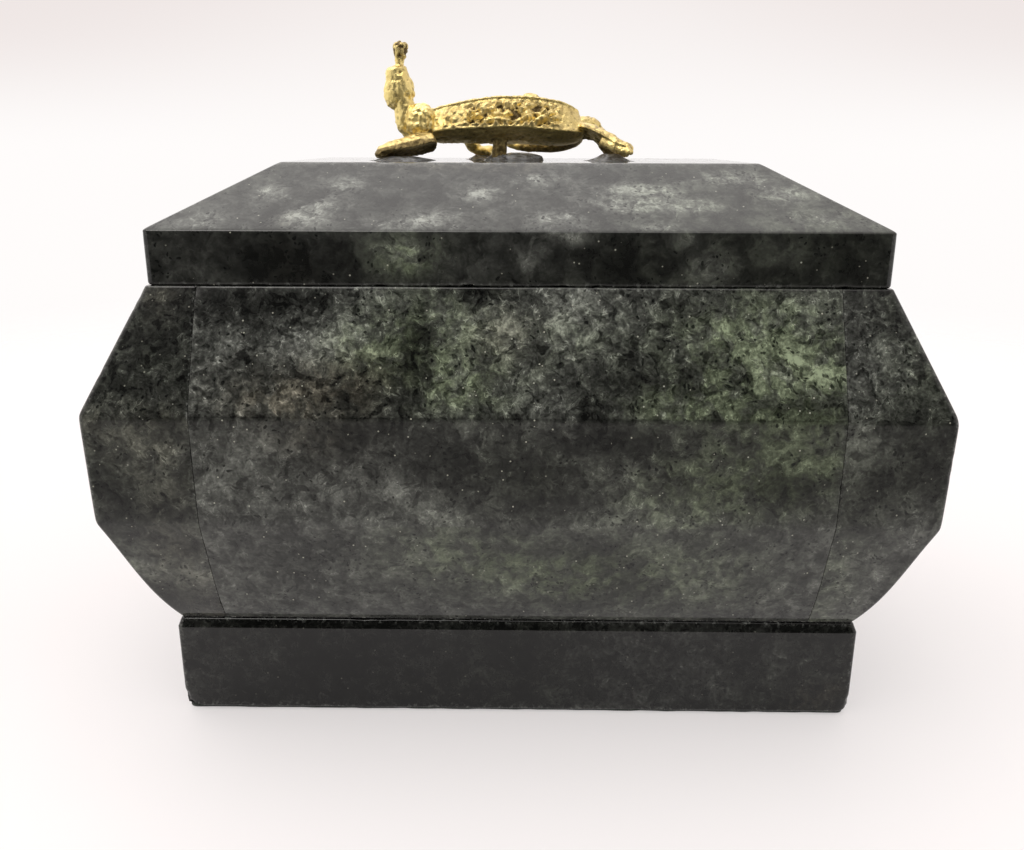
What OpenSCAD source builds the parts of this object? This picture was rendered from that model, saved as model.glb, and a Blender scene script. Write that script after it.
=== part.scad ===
// Stone trinket box with a lift-off lid and a cast brass lizard on top.
// Four wall plates, butted at the corners, stand on a plinth slab. The lid is one hipped slab
// that a plate under it keeps in place. Millimetres: +X is the width, +Y the depth away from
// the viewer and +Z up, from the middle of the foot.

/* [Body] */
// Width of the body at its waist
body_w = 131; // [110:1:180]
// Depth of the body at its waist
body_d = 94; // [80:1:140]
// Thickness of a wall plate at the waist
wall_t = 16.5; // [13:0.5:20]
// Height of the lower slope
lower_h = 20.3; // [12:0.1:30]
// Height of the upright waist band
waist_h = 17.4; // [8:0.2:30]
// Height of the upper slope
upper_h = 18.2; // [12:0.2:30]
// How far both slopes draw in from the waist
slope_in = 8.75; // [5:0.25:11]
// How far the waist band leans in at its lower edge
waist_lean = 0.3; // [0.1:0.1:1]
// Width of the flat ground along each outer corner
corner_flat = 1; // [0.4:0.1:2]

/* [Plinth] */
// Height of the plinth slab
plinth_h = 16.8; // [8:0.1:30]
// How far the plinth stands out from the foot of the walls
plinth_ledge = 0.6; // [0.2:0.1:3]
// Height of the slope ground along its top edge
plinth_slope_h = 1.6; // [0.5:0.1:4]
// Thickness of the felt under it
felt_t = 0.7; // [0.4:0.1:2]
// How far the felt stays back from the plinth's edge
felt_inset = 0.5; // [0.5:0.1:6]

/* [Lid] */
// How far the lid's rim stays back from the body's top edge
lid_inset = 0.25; // [0:0.05:2]
// Height of the upright rim
lid_rim_h = 8.3; // [4:0.1:14]
// Height of the hipped slopes
lid_slope_h = 9.5; // [5:0.5:16]
// Width of the hipped slopes, seen from above
lid_slope_w = 17.2; // [8:0.1:20]
// Thickness of the locating plate under the lid
register_t = 4; // [2:0.5:8]
// Play between the locating plate and the walls, on each side
register_gap = 0.8; // [0.4:0.1:2]
// Slope ground along the locating plate's lower edge
register_cut = 1; // [0.4:0.1:1.8]

/* [Glue and lining] */
// Thickness of a glue joint
glue_t = 0.2; // [0.1:0.05:0.5]
// How far the glue lies back from the faces
glue_back = 0.3; // [0.1:0.1:1]
// Thickness of the lining on the floor
lining_t = 0.6; // [0.3:0.1:2]
// Play between the lining and the walls, on each side
lining_gap = 0.5; // [0.2:0.1:2]

/* [Lizard] */
// Length of the lizard from its fore paw to its hind toes
lizard_len = 46.5; // [36:0.5:56]
// Diameter of the peg cast under its belly
peg_d = 2.6; // [2:0.1:4]
// Diameter of the collar at the peg's root
collar_d = 4.4; // [4.2:0.1:6]
// Height of the collar
collar_h = 2.4; // [1.5:0.1:3.5]
// Depth of the peg in the lid
peg_depth = 5; // [3:0.5:8]
// Play between the peg and its hole, all round
peg_gap = 0.2; // [0.1:0.05:0.4]
// Diameter of the glue pad under a far foot
pad_d = 4.4; // [3:0.2:6]
// Diameter of the glue pad under a near foot
near_pad_d = 5.6; // [3:0.2:8]
// Diameter of the glue puddle round the collar
puddle_d = 9; // [7:0.2:12]
// Thickness of the glue pads and the puddle
pad_t = 0.3; // [0.2:0.05:0.6]

/* [Hidden] */

// Heights of the stack, from the table up
plinth_top = felt_t + plinth_h;
foot_z = plinth_top + glue_t;
waist_low_z = foot_z + lower_h;
waist_high_z = waist_low_z + waist_h;
rim_z = waist_high_z + upper_h;
lid_edge_z = rim_z + lid_rim_h;
lid_top_z = lid_edge_z + lid_slope_h;

// Half sizes across X and Y
half = [body_w / 2, body_d / 2];
foot_half = [half.x - slope_in, half.y - slope_in];
plinth_half = [foot_half.x + plinth_ledge, foot_half.y + plinth_ledge];
lid_half = [foot_half.x - lid_inset, foot_half.y - lid_inset];
cavity_half = [half.x - wall_t, half.y - wall_t];
register_half = [cavity_half.x - register_gap, cavity_half.y - register_gap];
lining_half = [cavity_half.x - lining_gap, cavity_half.y - lining_gap];

// The lizard is drawn at this length and scaled to lizard_len
drawn_len = 46.5;
lizard_scale = lizard_len / drawn_len;

// Stations of the lizard, each [x, y, z, radius] above the middle of the lid's flat top
trunk = [[-17, -0.7, 6.6, 3.1], [-12.5, -0.2, 6.2, 3.3], [-8, 0, 6.7, 3.9], [-1, 0, 7.1, 4.3],
    [4.5, 0, 6.9, 3.9], [8.5, 0.3, 6.5, 3.3], [10.6, 1, 6.2, 2.5]];
tail = [[10.6, 1, 6.2, 2.5], [11.8, 4.6, 4.8, 2.1], [10.6, 7.8, 3.2, 1.8], [6.6, 9.6, 2, 1.6],
    [2, 9.8, 1.7, 1.3], [-1.2, 8.6, 1.8, 0.9], [-2.4, 7.2, 2.6, 0.7]];
neck = [[-17.6, -0.8, 6.6, 2.9], [-19.6, -1, 6.9, 2.6], [-20.4, -1, 9, 2.2], [-21.5, -1, 11, 2.5]];
head = [[-22, -1, 10.6, 2], [-21.6, -1, 12.2, 2.7], [-22.4, -1, 14.5, 1.75], [-21.7, -1, 15.6, 0.8]];
finial = [[-21.7, -1, 15.6, 0.8], [-21.5, -1, 17.2, 0.85], [-21.3, -1, 19, 1.45]];
fore_near = [[-17.4, -2, 5.4, 2.2], [-19.6, -5.4, 3.9, 1.5], [-22.6, -7.6, 2.1, 1.35], [-24.4, -8.4, 1.2, 1]];
fore_far = [[-15.4, 2, 5.4, 2], [-12.6, 5.8, 3.7, 1.4], [-9.4, 7.2, 1.8, 1.2], [-7, 7.4, 1.1, 0.9]];
shoulders = [[-17.9, -2.5, 7, 2.6], [-16.6, 1.9, 6.4, 2.3]];
hind_near = [[8.8, -1.4, 6, 2.3], [13, -3, 6, 1.6], [16, -4.8, 3, 1.5],
    [18.4, -5.8, 1.4, 1.2], [20.2, -6.2, 1, 0.8]];
hind_far = [[8.8, 2, 6, 2.3], [14.4, 3.4, 5.4, 1.4], [16, 5.6, 2.6, 1.3],
    [17.6, 7, 1.2, 1], [19, 7.6, 0.9, 0.7]];
hump = [[1.2, 2.6, 10, 1.7], [3, 2.6, 10, 1.7]];
peg_at = [-3.6, 0];
peg_root_z = 6;
near_feet = [[-22.6, -7.6], [18.4, -5.9]];
far_feet = [[-7.8, 7.3], [17.9, 7.1]];

// How far a cutting or trimming block passes a face
over = 1;

// Outline of the bulged body across one axis: half width h, with its draw taken m times
module body_outline(h, m) {
    polygon([
        [-h + m * slope_in, foot_z],
        [h - m * slope_in, foot_z],
        [h - m * waist_lean, waist_low_z],
        [h, waist_high_z],
        [h - m * slope_in, rim_z],
        [-h + m * slope_in, rim_z],
        [-h, waist_high_z],
        [-h + m * waist_lean, waist_low_z]
    ]);
}

// Outline of the plinth across one axis
module plinth_outline(h, m) {
    polygon([
        [-h, felt_t],
        [h, felt_t],
        [h, plinth_top - plinth_slope_h],
        [h - m * plinth_ledge, plinth_top],
        [-h + m * plinth_ledge, plinth_top],
        [-h, plinth_top - plinth_slope_h]
    ]);
}

// Outline of the lid across one axis
module lid_outline(h, m) {
    polygon([
        [-h, rim_z],
        [h, rim_z],
        [h, lid_edge_z],
        [h - m * lid_slope_w, lid_top_z],
        [-h + m * lid_slope_w, lid_top_z],
        [-h, lid_edge_z]
    ]);
}

// Outline of the locating plate across one axis
module register_outline(h, m) {
    top = rim_z - glue_t;
    polygon([
        [-h + m * register_cut, top - register_t],
        [h - m * register_cut, top - register_t],
        [h, top - register_t + register_cut],
        [h, top],
        [-h, top],
        [-h, top - register_t + register_cut]
    ]);
}

// A prism of the outline standing in the plane that is turned by the angle about Z
module upright(angle) {
    reach = body_w + body_d;
    rotate([0, 0, angle])
        rotate([90, 0, 0])
            translate([0, 0, -reach / 2])
                linear_extrude(height = reach)
                    children();
}

// Half width across a corner, less half the flat that is ground there
function diagonal(h) = (h.x + h.y) / sqrt(2) - corner_flat / 2;

// The whole bulged body, drawn in by back on every side
module body_block(back = 0) {
    intersection() {
        upright(0) body_outline(half.x - back, 1);
        upright(90) body_outline(half.y - back, 1);
        upright(45) body_outline(diagonal(half) - back, sqrt(2));
        upright(-45) body_outline(diagonal(half) - back, sqrt(2));
    }
}

// A block between two corners
module block(low, high) {
    translate(low)
        cube(high - low);
}

// A block centred on the Z axis
module slab(h, z0, z1) {
    block([-h.x, -h.y, z0], [h.x, h.y, z1]);
}

module base_felt() {
    color("darkslategray")
        slab([plinth_half.x - felt_inset, plinth_half.y - felt_inset], 0, felt_t);
}

module plinth() {
    color("darkolivegreen")
        intersection() {
            upright(0) plinth_outline(plinth_half.x, 1);
            upright(90) plinth_outline(plinth_half.y, 1);
            upright(45) plinth_outline(diagonal(plinth_half), sqrt(2));
            upright(-45) plinth_outline(diagonal(plinth_half), sqrt(2));
        }
}

module plinth_glue() {
    color("black")
        difference() {
            slab([foot_half.x - glue_back, foot_half.y - glue_back], plinth_top, foot_z);
            slab(cavity_half, plinth_top - over, foot_z + over);
        }
}

// A long wall on the side of -Y, between the two side walls
module long_wall() {
    intersection() {
        body_block();
        block([-cavity_half.x + glue_t, -half.y - over, foot_z - over],
            [cavity_half.x - glue_t, -cavity_half.y, rim_z + over]);
    }
}

// A side wall on the side of -X, as deep as the body
module side_wall() {
    intersection() {
        body_block();
        block([-half.x - over, -half.y - over, foot_z - over], [-cavity_half.x, half.y + over, rim_z + over]);
    }
}

module front_wall() {
    color("seagreen")
        long_wall();
}

module back_wall() {
    color("seagreen")
        rotate([0, 0, 180])
            long_wall();
}

module left_wall() {
    color("darkgreen")
        side_wall();
}

module right_wall() {
    color("darkgreen")
        rotate([0, 0, 180])
            side_wall();
}

module corner_glue() {
    color("black")
        for (turn = [0, 180])
            rotate([0, 0, turn])
                for (x = [-cavity_half.x, cavity_half.x - glue_t])
                    intersection() {
                        body_block(glue_back);
                        block([x, -half.y, foot_z], [x + glue_t, -cavity_half.y, rim_z]);
                    }
}

module floor_lining() {
    color("darkred")
        slab(lining_half, plinth_top, plinth_top + lining_t);
}

module lid_slab() {
    color("olivedrab")
        difference() {
            intersection() {
                upright(0) lid_outline(lid_half.x, 1);
                upright(90) lid_outline(lid_half.y, 1);
                upright(45) lid_outline(diagonal(lid_half), sqrt(2));
                upright(-45) lid_outline(diagonal(lid_half), sqrt(2));
            }
            at_lid(peg_at, lid_top_z - peg_depth - peg_gap)
                cylinder(d = peg_d + 2 * peg_gap, h = peg_depth + peg_gap + over, $fn = 48);
        }
}

module register_glue() {
    color("black")
        slab([register_half.x - glue_back, register_half.y - glue_back], rim_z - glue_t, rim_z);
}

module lid_register() {
    color("darkolivegreen")
        intersection() {
            upright(0) register_outline(register_half.x, 1);
            upright(90) register_outline(register_half.y, 1);
        }
}

// Move to a place of the lizard's drawing [x, y], at height z
module at_lid(place, z) {
    translate([place.x * lizard_scale, place.y * lizard_scale, z])
        children();
}

// A limb of balls [x, y, z, radius], each blended into the next
module limb(stations) {
    for (i = [0 : len(stations) - 2])
        hull() {
            ball(stations[i]);
            ball(stations[i + 1]);
        }
}

module ball(s) {
    translate([s[0], s[1], s[2]])
        sphere(r = s[3], $fn = 20);
}

module lizard() {
    color("gold")
        translate([0, 0, lid_top_z])
            union() {
                intersection() {
                    scale(lizard_scale)
                        union() {
                            limb(trunk);
                            limb(tail);
                            limb(neck);
                            limb(head);
                            limb(finial);
                            limb(shoulders);
                            limb(fore_near);
                            limb(fore_far);
                            limb(hind_near);
                            limb(hind_far);
                            limb(hump);
                        }
                    block([-lizard_len, -lizard_len, pad_t], [lizard_len, lizard_len, lizard_len]);
                }
                at_lid(peg_at, -peg_depth)
                    cylinder(d = peg_d, h = peg_depth + peg_root_z * lizard_scale, $fn = 32);
                at_lid(peg_at, 0)
                    cylinder(d1 = collar_d, d2 = peg_d, h = collar_h, $fn = 32);
            }
}

// Glue pads of one diameter under the feet at those places
module pads(places, d) {
    for (p = places)
        at_lid(p, lid_top_z)
            cylinder(d = d, h = pad_t, $fn = 48);
}

module lizard_glue() {
    color("lightgray") {
        pads(near_feet, near_pad_d);
        pads(far_feet, pad_d);
        difference() {
            pads([peg_at], puddle_d);
            at_lid(peg_at, lid_top_z - over)
                cylinder(d = collar_d, h = pad_t + 2 * over, $fn = 48);
        }
    }
}

base_felt();
plinth();
plinth_glue();
front_wall();
back_wall();
left_wall();
right_wall();
corner_glue();
floor_lining();
lid_slab();
register_glue();
lid_register();
lizard();
lizard_glue();
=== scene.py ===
# %% [markdown]
# # A stone trinket box with a brass lizard
# The box is glued from plates of polished dark green serpentine. A loose lid, hipped like a roof, carries
# a cast lizard that serves as its handle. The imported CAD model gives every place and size; this lesson
# dresses it with rounded stone, cloudy stone patterns, hardened glue, felt and cast brass.

import bpy
import numpy as np
from mathutils import Matrix


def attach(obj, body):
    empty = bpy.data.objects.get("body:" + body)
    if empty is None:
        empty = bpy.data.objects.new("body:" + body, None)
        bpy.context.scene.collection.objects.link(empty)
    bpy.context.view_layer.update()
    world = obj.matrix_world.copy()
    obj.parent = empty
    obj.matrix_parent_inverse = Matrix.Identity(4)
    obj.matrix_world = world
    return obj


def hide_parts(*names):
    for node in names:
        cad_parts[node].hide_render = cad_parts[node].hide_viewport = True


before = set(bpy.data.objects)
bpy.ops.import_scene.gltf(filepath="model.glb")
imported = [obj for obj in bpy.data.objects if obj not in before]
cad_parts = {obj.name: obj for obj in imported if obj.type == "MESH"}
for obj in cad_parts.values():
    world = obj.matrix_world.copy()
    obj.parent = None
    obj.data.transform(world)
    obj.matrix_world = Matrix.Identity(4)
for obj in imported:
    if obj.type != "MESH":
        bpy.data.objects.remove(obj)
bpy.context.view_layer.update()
MM = 0.001

# %% [markdown]
# ## The camera
# The photograph was taken from close by, a little above the lid, so its perspective is strong. Seven
# numbers describe such a camera: its place, three turns and its lens. They were fitted to the arrises of
# the box, with the middle of the picture on the optical axis, so no lens shift is needed.

# %% Camera
PHOTO_W = 1024
CAMERA_AT = np.array([0.907, -179.852, 95.024]) * MM
CAMERA_YAW, CAMERA_PITCH, CAMERA_ROLL = -0.01198, 0.29561, -0.00332
FOCAL_PX = 937.35
SENSOR = 36.0
CLIP_START = 5 * MM


def camera_axes(yaw, pitch, roll):
    """Right, up and backward axes: forward is turned by yaw, tipped down by pitch and rolled about itself."""
    forward = np.array([np.sin(yaw) * np.cos(pitch), np.cos(yaw) * np.cos(pitch), -np.sin(pitch)])
    right = np.array([np.cos(yaw), -np.sin(yaw), 0.0])
    down = np.cross(forward, right)
    rolled_right = np.cos(roll) * right + np.sin(roll) * down
    rolled_down = np.cos(roll) * down - np.sin(roll) * right
    return rolled_right, -rolled_down, -forward


lens = bpy.data.cameras.new("camera")
lens.sensor_width = SENSOR
lens.lens = FOCAL_PX / PHOTO_W * SENSOR
lens.clip_start = CLIP_START
camera = bpy.data.objects.new("camera", lens)
bpy.context.scene.collection.objects.link(camera)
matrix = np.eye(4)
matrix[:3, :3] = np.stack(camera_axes(CAMERA_YAW, CAMERA_PITCH, CAMERA_ROLL), axis=1)
matrix[:3, 3] = CAMERA_AT
camera.matrix_world = Matrix(matrix.tolist())
bpy.context.scene.camera = camera
print("lens", round(lens.lens, 2), "mm")

# %% [markdown]
# ## Helpers for surfaces
# Each new piece is a grid of points that a formula gives as whole arrays. One helper joins a stack of
# rings into quads, another puts points and faces into a mesh, and a third gives a smooth random field,
# which is used for nicks, for the casting's skin, for uneven glue and for felt.


# %% Mesh helpers
def ring_quads(rows, around, start=0):
    """Quads between neighbouring rings: point k of a ring, point k + 1, and the two above them."""
    j, k = np.meshgrid(np.arange(rows - 1), np.arange(around), indexing="ij")
    n = (k + 1) % around
    quads = np.stack([j * around + k, j * around + n, (j + 1) * around + n, (j + 1) * around + k], axis=-1)
    return start + quads.reshape(-1, 4)


def stack_faces(rows, around, start=0):
    """The quads of a stack of rings, with one face closing its foot and one its top."""
    last = start + (rows - 1) * around
    foot = tuple(range(start + around - 1, start - 1, -1))
    top = tuple(range(last, last + around))
    return [tuple(q) for q in ring_quads(rows, around, start).tolist()] + [foot, top]


def piece(name, points, faces, values=None):
    """An object at the origin from points in metres, smooth, with per-point values as attributes."""
    mesh = bpy.data.meshes.new(name)
    mesh.from_pydata(points.reshape(-1, 3).tolist(), [], faces)
    mesh.shade_smooth()
    for key, value in (values or {}).items():
        layer = mesh.attributes.new(key, "FLOAT", "POINT")
        layer.data.foreach_set("value", np.ascontiguousarray(value, dtype=np.float32).ravel())
    mesh.validate()
    thing = bpy.data.objects.new(name, mesh)
    bpy.context.scene.collection.objects.link(thing)
    return thing


def hashed(cell, seed):
    """A fixed number from 0 to 1 for each whole-number cell: the fraction of a steep sine."""
    mixed = cell @ np.array([127.1, 311.7, 74.7]) + seed * 17.3
    return np.abs(np.sin(mixed) * 43758.5453) % 1.0


def field(points, size, seed=0):
    """Smooth random values from 0 to 1: hashed corners of a lattice, blended with eased weights."""
    p = points / size
    base = np.floor(p)
    t = p - base
    t = t * t * (3 - 2 * t)
    total = np.zeros(p.shape[:-1])
    for corner in np.ndindex(2, 2, 2):
        c = np.array(corner, dtype=float)
        weight = np.prod(np.where(c > 0, t, 1 - t), axis=-1)
        total += weight * hashed(base + c, seed)
    return total


def grid_normals(points):
    """Unit normals of a stack of rings, from the cross product of its two directions."""
    around = np.roll(points, -1, axis=1) - np.roll(points, 1, axis=1)
    up = np.gradient(points, axis=0)
    normal = np.cross(around, up)
    return normal / np.maximum(np.linalg.norm(normal, axis=-1, keepdims=True), 1e-12)


print("mesh helpers ready")

# %% [markdown]
# ## Stone plates
# Every stone plate is a stack of rounded rectangles: at each height the plate has a left, right, front
# and back side, and each side follows its own profile. A ground arris is never sharp, so the corners are
# quarter circles, the top and bottom edges roll over in quarter circles too, and the ridges of the bulged
# walls are softened. A bevel modifier could do this, but the rings also carry the nicks and the cloud
# pattern, so they are needed closely spaced anyway.

# %% Plate surfaces
SEAM_LIMIT = 0.3
SEAM_WEAR, SEAM_REACH = 1.4, 0.25
CORNER_REACH, END_REACH, RIDGE_REACH = 0.7, 0.5, 0.4
FLAT_INSETS = np.array([1.2, 0.3])
ROLL_STEPS, RIDGE_STEPS = 6, 13


def bell(x):
    """A bell curve: 1 at 0, falling off on both sides."""
    return np.exp(-x**2)


def soft_min(a, b, soft):
    """The smaller of two values, with the ridge between them rounded off by soft."""
    return 0.5 * (a + b - np.sqrt((a - b) ** 2 + 4 * soft**2))


def plate_rows(low, high, roll, ridges=(), step=0.9):
    """Heights and edge insets of the rings: a quarter circle of radius roll at both ends, even steps
    between, fine steps about each ridge, and a ring close under the upper roll, which keeps that edge's
    own shade narrow. Two rings inside each end keep the flat ends flat."""
    t = np.linspace(0, np.pi / 2, ROLL_STEPS)
    rise, draw = roll * (1 - np.cos(t)), roll * (1 - np.sin(t))
    inner = np.arange(low + roll + 0.15, high - roll - 0.1, step)
    close = high - roll - 0.12
    inner = np.append(inner, close) if close > low + roll + 0.3 else inner
    fine = np.array([r + d for r in ridges for d in np.linspace(-1.0, 1.0, RIDGE_STEPS)])
    fine = fine[(fine > low + roll) & (fine < high - roll)] if len(fine) else fine
    inner = np.unique(np.round(np.concatenate([inner, fine]), 4))
    inner = inner[np.diff(inner, prepend=low) > 0.05]
    flat = roll + FLAT_INSETS
    z = np.concatenate([[low, low], low + rise, inner, high - rise[::-1], [high, high]])
    inset = np.concatenate([flat, draw, 0 * inner, draw[::-1], flat[::-1]])
    return z, inset


def edge_steps(length, step):
    """Even steps from 0 to 1, and on a long side one more close to each end, so that an edge's own shade
    stays narrow."""
    t = np.linspace(0, 1, max(3, int(length / step)))
    close = 0.25 / length
    return np.sort(np.concatenate([t, [close, 1 - close]])) if length > 4 else t


def rounded_rings(x_lo, x_hi, y_lo, y_hi, r, step=0.8, arc=5):
    """One rounded rectangle per row, anticlockwise from the front left; r holds four radii per row."""
    fl, fr, br, bl = (r[:, i:i + 1] for i in range(4))
    x_lo, x_hi, y_lo, y_hi = (v[:, None] for v in (x_lo, x_hi, y_lo, y_hi))
    tx, ty = (edge_steps(np.max(size), step)[None] for size in (x_hi - x_lo, y_hi - y_lo))
    a = np.linspace(0, np.pi / 2, arc + 2)[1:-1][None]
    s, c = np.sin(a), np.cos(a)
    x = [x_lo + fl + tx * (x_hi - fr - x_lo - fl), x_hi - fr + fr * s, x_hi + 0 * ty, x_hi - br + br * c,
         x_hi - br + tx * (x_lo + bl - x_hi + br), x_lo + bl - bl * s, x_lo + 0 * ty, x_lo + fl - fl * c]
    y = [y_lo + 0 * tx, y_lo + fr - fr * c, y_lo + fr + ty * (y_hi - br - y_lo - fr), y_hi - br + br * s,
         y_hi + 0 * tx, y_hi - bl + bl * c, y_hi - bl + ty * (y_lo + fl - y_hi + bl), y_lo + fl - fl * s]
    return np.concatenate(x, axis=1), np.concatenate(y, axis=1)


def centred(half_x, half_y):
    """The four sides of a plate whose middle is at the origin."""
    return -half_x, half_x, -half_y, half_y


def nicked(points, arris, depth, seed):
    """Small chips: points near an arris sink along their normals where two fields are both high."""
    small = np.clip((field(points, 1.5, seed) - 0.7) / 0.2, 0, 1)
    wide = np.clip((field(points, 8.0, seed + 5) - 0.5) / 0.2, 0, 1)
    grain = 0.6 + 0.8 * field(points, 0.5, seed + 9)
    return points - grid_normals(points) * (depth * arris * (small * wide) * grain)[..., None]


def stone_plate(name, z, inset, sides, radii, ridges, clouds, depth=0.35, seed=1, chips=(),
                ridge_wear=0.12, end_wear=1.0):
    """A plate in mm: sides are x low, x high, y low and y high, each a value or one value per row. The
    arris value is 1 on worn edges, more but in a narrower band on a seam, whose radius is small, and
    least on a ridge between two ground faces; ridge_wear and end_wear scale it. Chips are places, each
    with a reach and a bite."""
    full = [np.broadcast_to(np.asarray(s, dtype=float), z.shape) for s in sides]
    x_lo, x_hi, y_lo, y_hi = full[0] + inset, full[1] - inset, full[2] + inset, full[3] - inset
    r = np.broadcast_to(np.asarray(radii, dtype=float), (len(z), 4))
    x, y = rounded_rings(x_lo, x_hi, y_lo, y_hi, r)
    points = np.stack([x, y, np.broadcast_to(z[:, None], x.shape)], axis=-1)
    to_side = np.minimum(x - x_lo[:, None], x_hi[:, None] - x)
    to_end = np.minimum(y - y_lo[:, None], y_hi[:, None] - y)
    right, behind = x > x.mean(axis=1, keepdims=True), y > y.mean(axis=1, keepdims=True)
    fl, fr, br, bl = r.max(axis=0)
    radius = np.where(behind, np.where(right, br, bl), np.where(right, fr, fl))
    off = np.maximum(to_side, to_end)
    corner = np.where(radius < SEAM_LIMIT, SEAM_WEAR * bell(off / SEAM_REACH), bell(off / CORNER_REACH))
    ends = end_wear * bell(np.minimum(z - z[0], z[-1] - z) / END_REACH)
    wear = np.max([ends, *(ridge_wear * bell((z - h) / RIDGE_REACH) for h in ridges)], axis=0)
    arris = np.maximum(corner, wear[:, None])
    points = nicked(points, arris, depth, seed)
    for at, reach, bite in chips:
        near = bell(np.linalg.norm(points - np.array(at), axis=-1) / reach)
        lost = near * bite * (0.5 + field(points, 0.8, seed + 3))
        points = points - grid_normals(points) * lost[..., None]
    return piece(name, points * MM, stack_faces(*x.shape), {"arris": arris, **clouds(points)})


print("plate helpers ready")

# %% [markdown]
# ## Clouds in the stone
# Serpentine is cloudy: pale grey-green patches drift in a nearly black ground. On the faces that the
# photograph shows, patches were placed as soft ovals, each with a middle, two radii and an amount,
# where a negative amount darkens. Elsewhere random fields fill the plate. The sum is kept on the points
# as the attribute "cloud", beside "moss" and "rust" for the tints and "depth" for how crisp the fine
# pattern is, and the stone material breaks the edges up with fine noise.
# On the walls the cloud value also carries painted shade between ground faces, and on the lid a darker rim.

# %% Clouds
FOOT_Z, WAIST_LOW, WAIST_HIGH, RIM_Z, LID_EDGE = 17.7, 38.0, 55.4, 73.6, 81.9
# The first two ovals darken a narrow band just under the lid.
FRONT_CLOUDS = [
    (-38, 71, 12, 2.5, -1.2), (-5, 72.8, 6, 1.4, -1.2), (-34, 65, 7, 4, 0.2), (-28, 67, 4, 3, 0.5),
    (-23, 66, 6, 4, 0.9), (-34, 58, 6, 3, 0.15), (-25, 58, 4, 4, -0.8), (-15, 65, 2.6, 5.5, -1.2),
    (-12, 70, 5, 3, 0.8), (-9, 60, 5, 3.5, 0.6), (-4, 68, 4, 4, 0.4), (7, 69, 9, 4, 0.8),
    (3, 68, 2, 2.5, -0.8), (18, 60, 8, 4, -0.7), (11, 58, 3, 3.5, -0.6), (34, 68, 6, 3, 0.75),
    (24, 57.5, 5, 2, 0.55), (42, 61, 6, 4, 0.5), (45, 62, 2, 2, 0.6), (43, 57.4, 4.5, 1.8, -0.6),
    (44, 70, 4, 3, 0.3), (26, 69, 3, 2, -0.3), (0, 61, 3, 3, 0.5), (37, 63, 3, 2, 0.5),
    (-40, 47, 9, 7, 0.3), (-24, 53, 6, 2.5, -0.8), (-17, 44, 4, 3, 0.8), (-28, 44, 3, 2, 0.4),
    (-10, 48, 6, 4.5, -0.9), (-12, 40, 4, 2.5, 0.7), (15, 52, 8, 3, -1.3), (4, 44, 6, 5, -0.9),
    (17, 47, 4, 2, 0.4), (24, 40, 9, 3, 0.6), (42, 51, 5, 3.5, 0.25), (42, 44, 6, 3, -0.8),
    (-15, 31, 10, 5, 0.5), (1, 27, 10, 4, 0.5), (29, 29, 8, 5, 0.55), (-38, 29, 8, 6, -0.2),
    (13, 34, 5, 3, -0.4), (43, 25, 5, 4, 0.2), (38, 64, 12, 8, 0.35), (0, 47, 9, 7, -0.12),
    (30, 47, 13, 7, 0.15), (5, 29, 14, 8, 0.12), (33, 29, 12, 8, 0.1),
]
FRONT_MOSS = [
    (-12, 69, 9, 5, 0.7), (-9, 60, 9, 5, 0.9), (-22, 64, 6, 5, 0.9), (36, 66, 14, 8, 1.0),
    (42, 58, 9, 7, 1.0), (42, 49, 9, 7, 0.9), (25, 57, 10, 4, 0.8), (8, 66, 10, 5, 0.3),
    (28, 42, 14, 8, 0.6), (-10, 33, 12, 7, 0.6), (10, 28, 14, 7, 0.9), (30, 48, 12, 6, 0.3),
    (30, 28, 10, 7, 0.5), (0, 47, 8, 6, 0.3),
]
FRONT_RUST = [(-34, 58, 9, 4, 1.0), (-24, 60, 6, 4, 0.5), (-2, 67, 5, 4, 0.3), (-30, 52, 7, 3, 0.4)]
RIM_CLOUDS = [
    (-17.5, 78.6, 5.6, 4, 1.75), (7.6, 81.2, 4.4, 1.7, 1.45), (29, 76.6, 4, 2.6, 1.3),
    (25, 80.8, 2.6, 1.5, 1.2), (-50, 76, 4, 1.5, 0.8), (1.2, 77.4, 2.2, 2.3, 1.1), (-8.5, 77, 3, 2, 0.6),
    (40, 78.8, 4, 2.2, 0.7), (-33, 77, 10, 4, -0.7), (14, 77, 6, 3, -0.6), (50, 78, 7, 4, -0.5),
]
SLOPE_CLOUDS = [
    (-27, -27, 3.5, 2, 1.1), (-33, -35, 4, 1.8, 1.1), (-6, -29, 4, 2, 0.9), (-30, -32, 4, 1.8, 0.8),
    (-39, -29, 3, 2, 0.8), (19, -28, 7, 2, 1.0), (16, -32, 5, 2, 0.9), (41, -29, 4, 2, 0.9),
    (26, -32, 6, 2, 0.9), (6, -35, 4, 2, 0.8), (-12, -35, 4, 2, 0.7), (35, -25, 6, 2, 0.8),
    (3, -25, 5, 2, 0.7), (46, -35, 5, 2, 0.7), (-18, -36, 5, 1.5, 0.9), (-48, -36, 4, 2, 0.6),
    (21, -37, 4, 1.2, 0.8),
]
RIM_MOSS = [(-17, 78, 6, 4, 0.9)]


def ovals(a, b, patches):
    """The sum of soft ovals: each is its amount times a bell curve of the distance in its two radii."""
    p = np.array(patches, dtype=float).reshape(-1, 5)
    away = ((a[..., None] - p[:, 0]) / p[:, 2]) ** 2 + ((b[..., None] - p[:, 1]) / p[:, 3]) ** 2
    return (np.exp(-away) * p[:, 4]).sum(axis=-1)


def per_face(z, lid, upper, waist, lower, plinth):
    """One value for each ground face, from the lid down to the plinth."""
    above = [z > RIM_Z - 0.1, z >= WAIST_HIGH, z >= WAIST_LOW, z > FOOT_Z]
    return np.select(above, [lid, upper, waist, lower], plinth)


def ground_depth(z):
    """How strong the fine pattern is at a height: crisp on the upper slopes, softer on the waist and
    below, where the polish mirrors more of the floor, and soft on the lid."""
    return per_face(z, 0.8, 1.25, 0.8, 0.65, 1.0)


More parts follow.
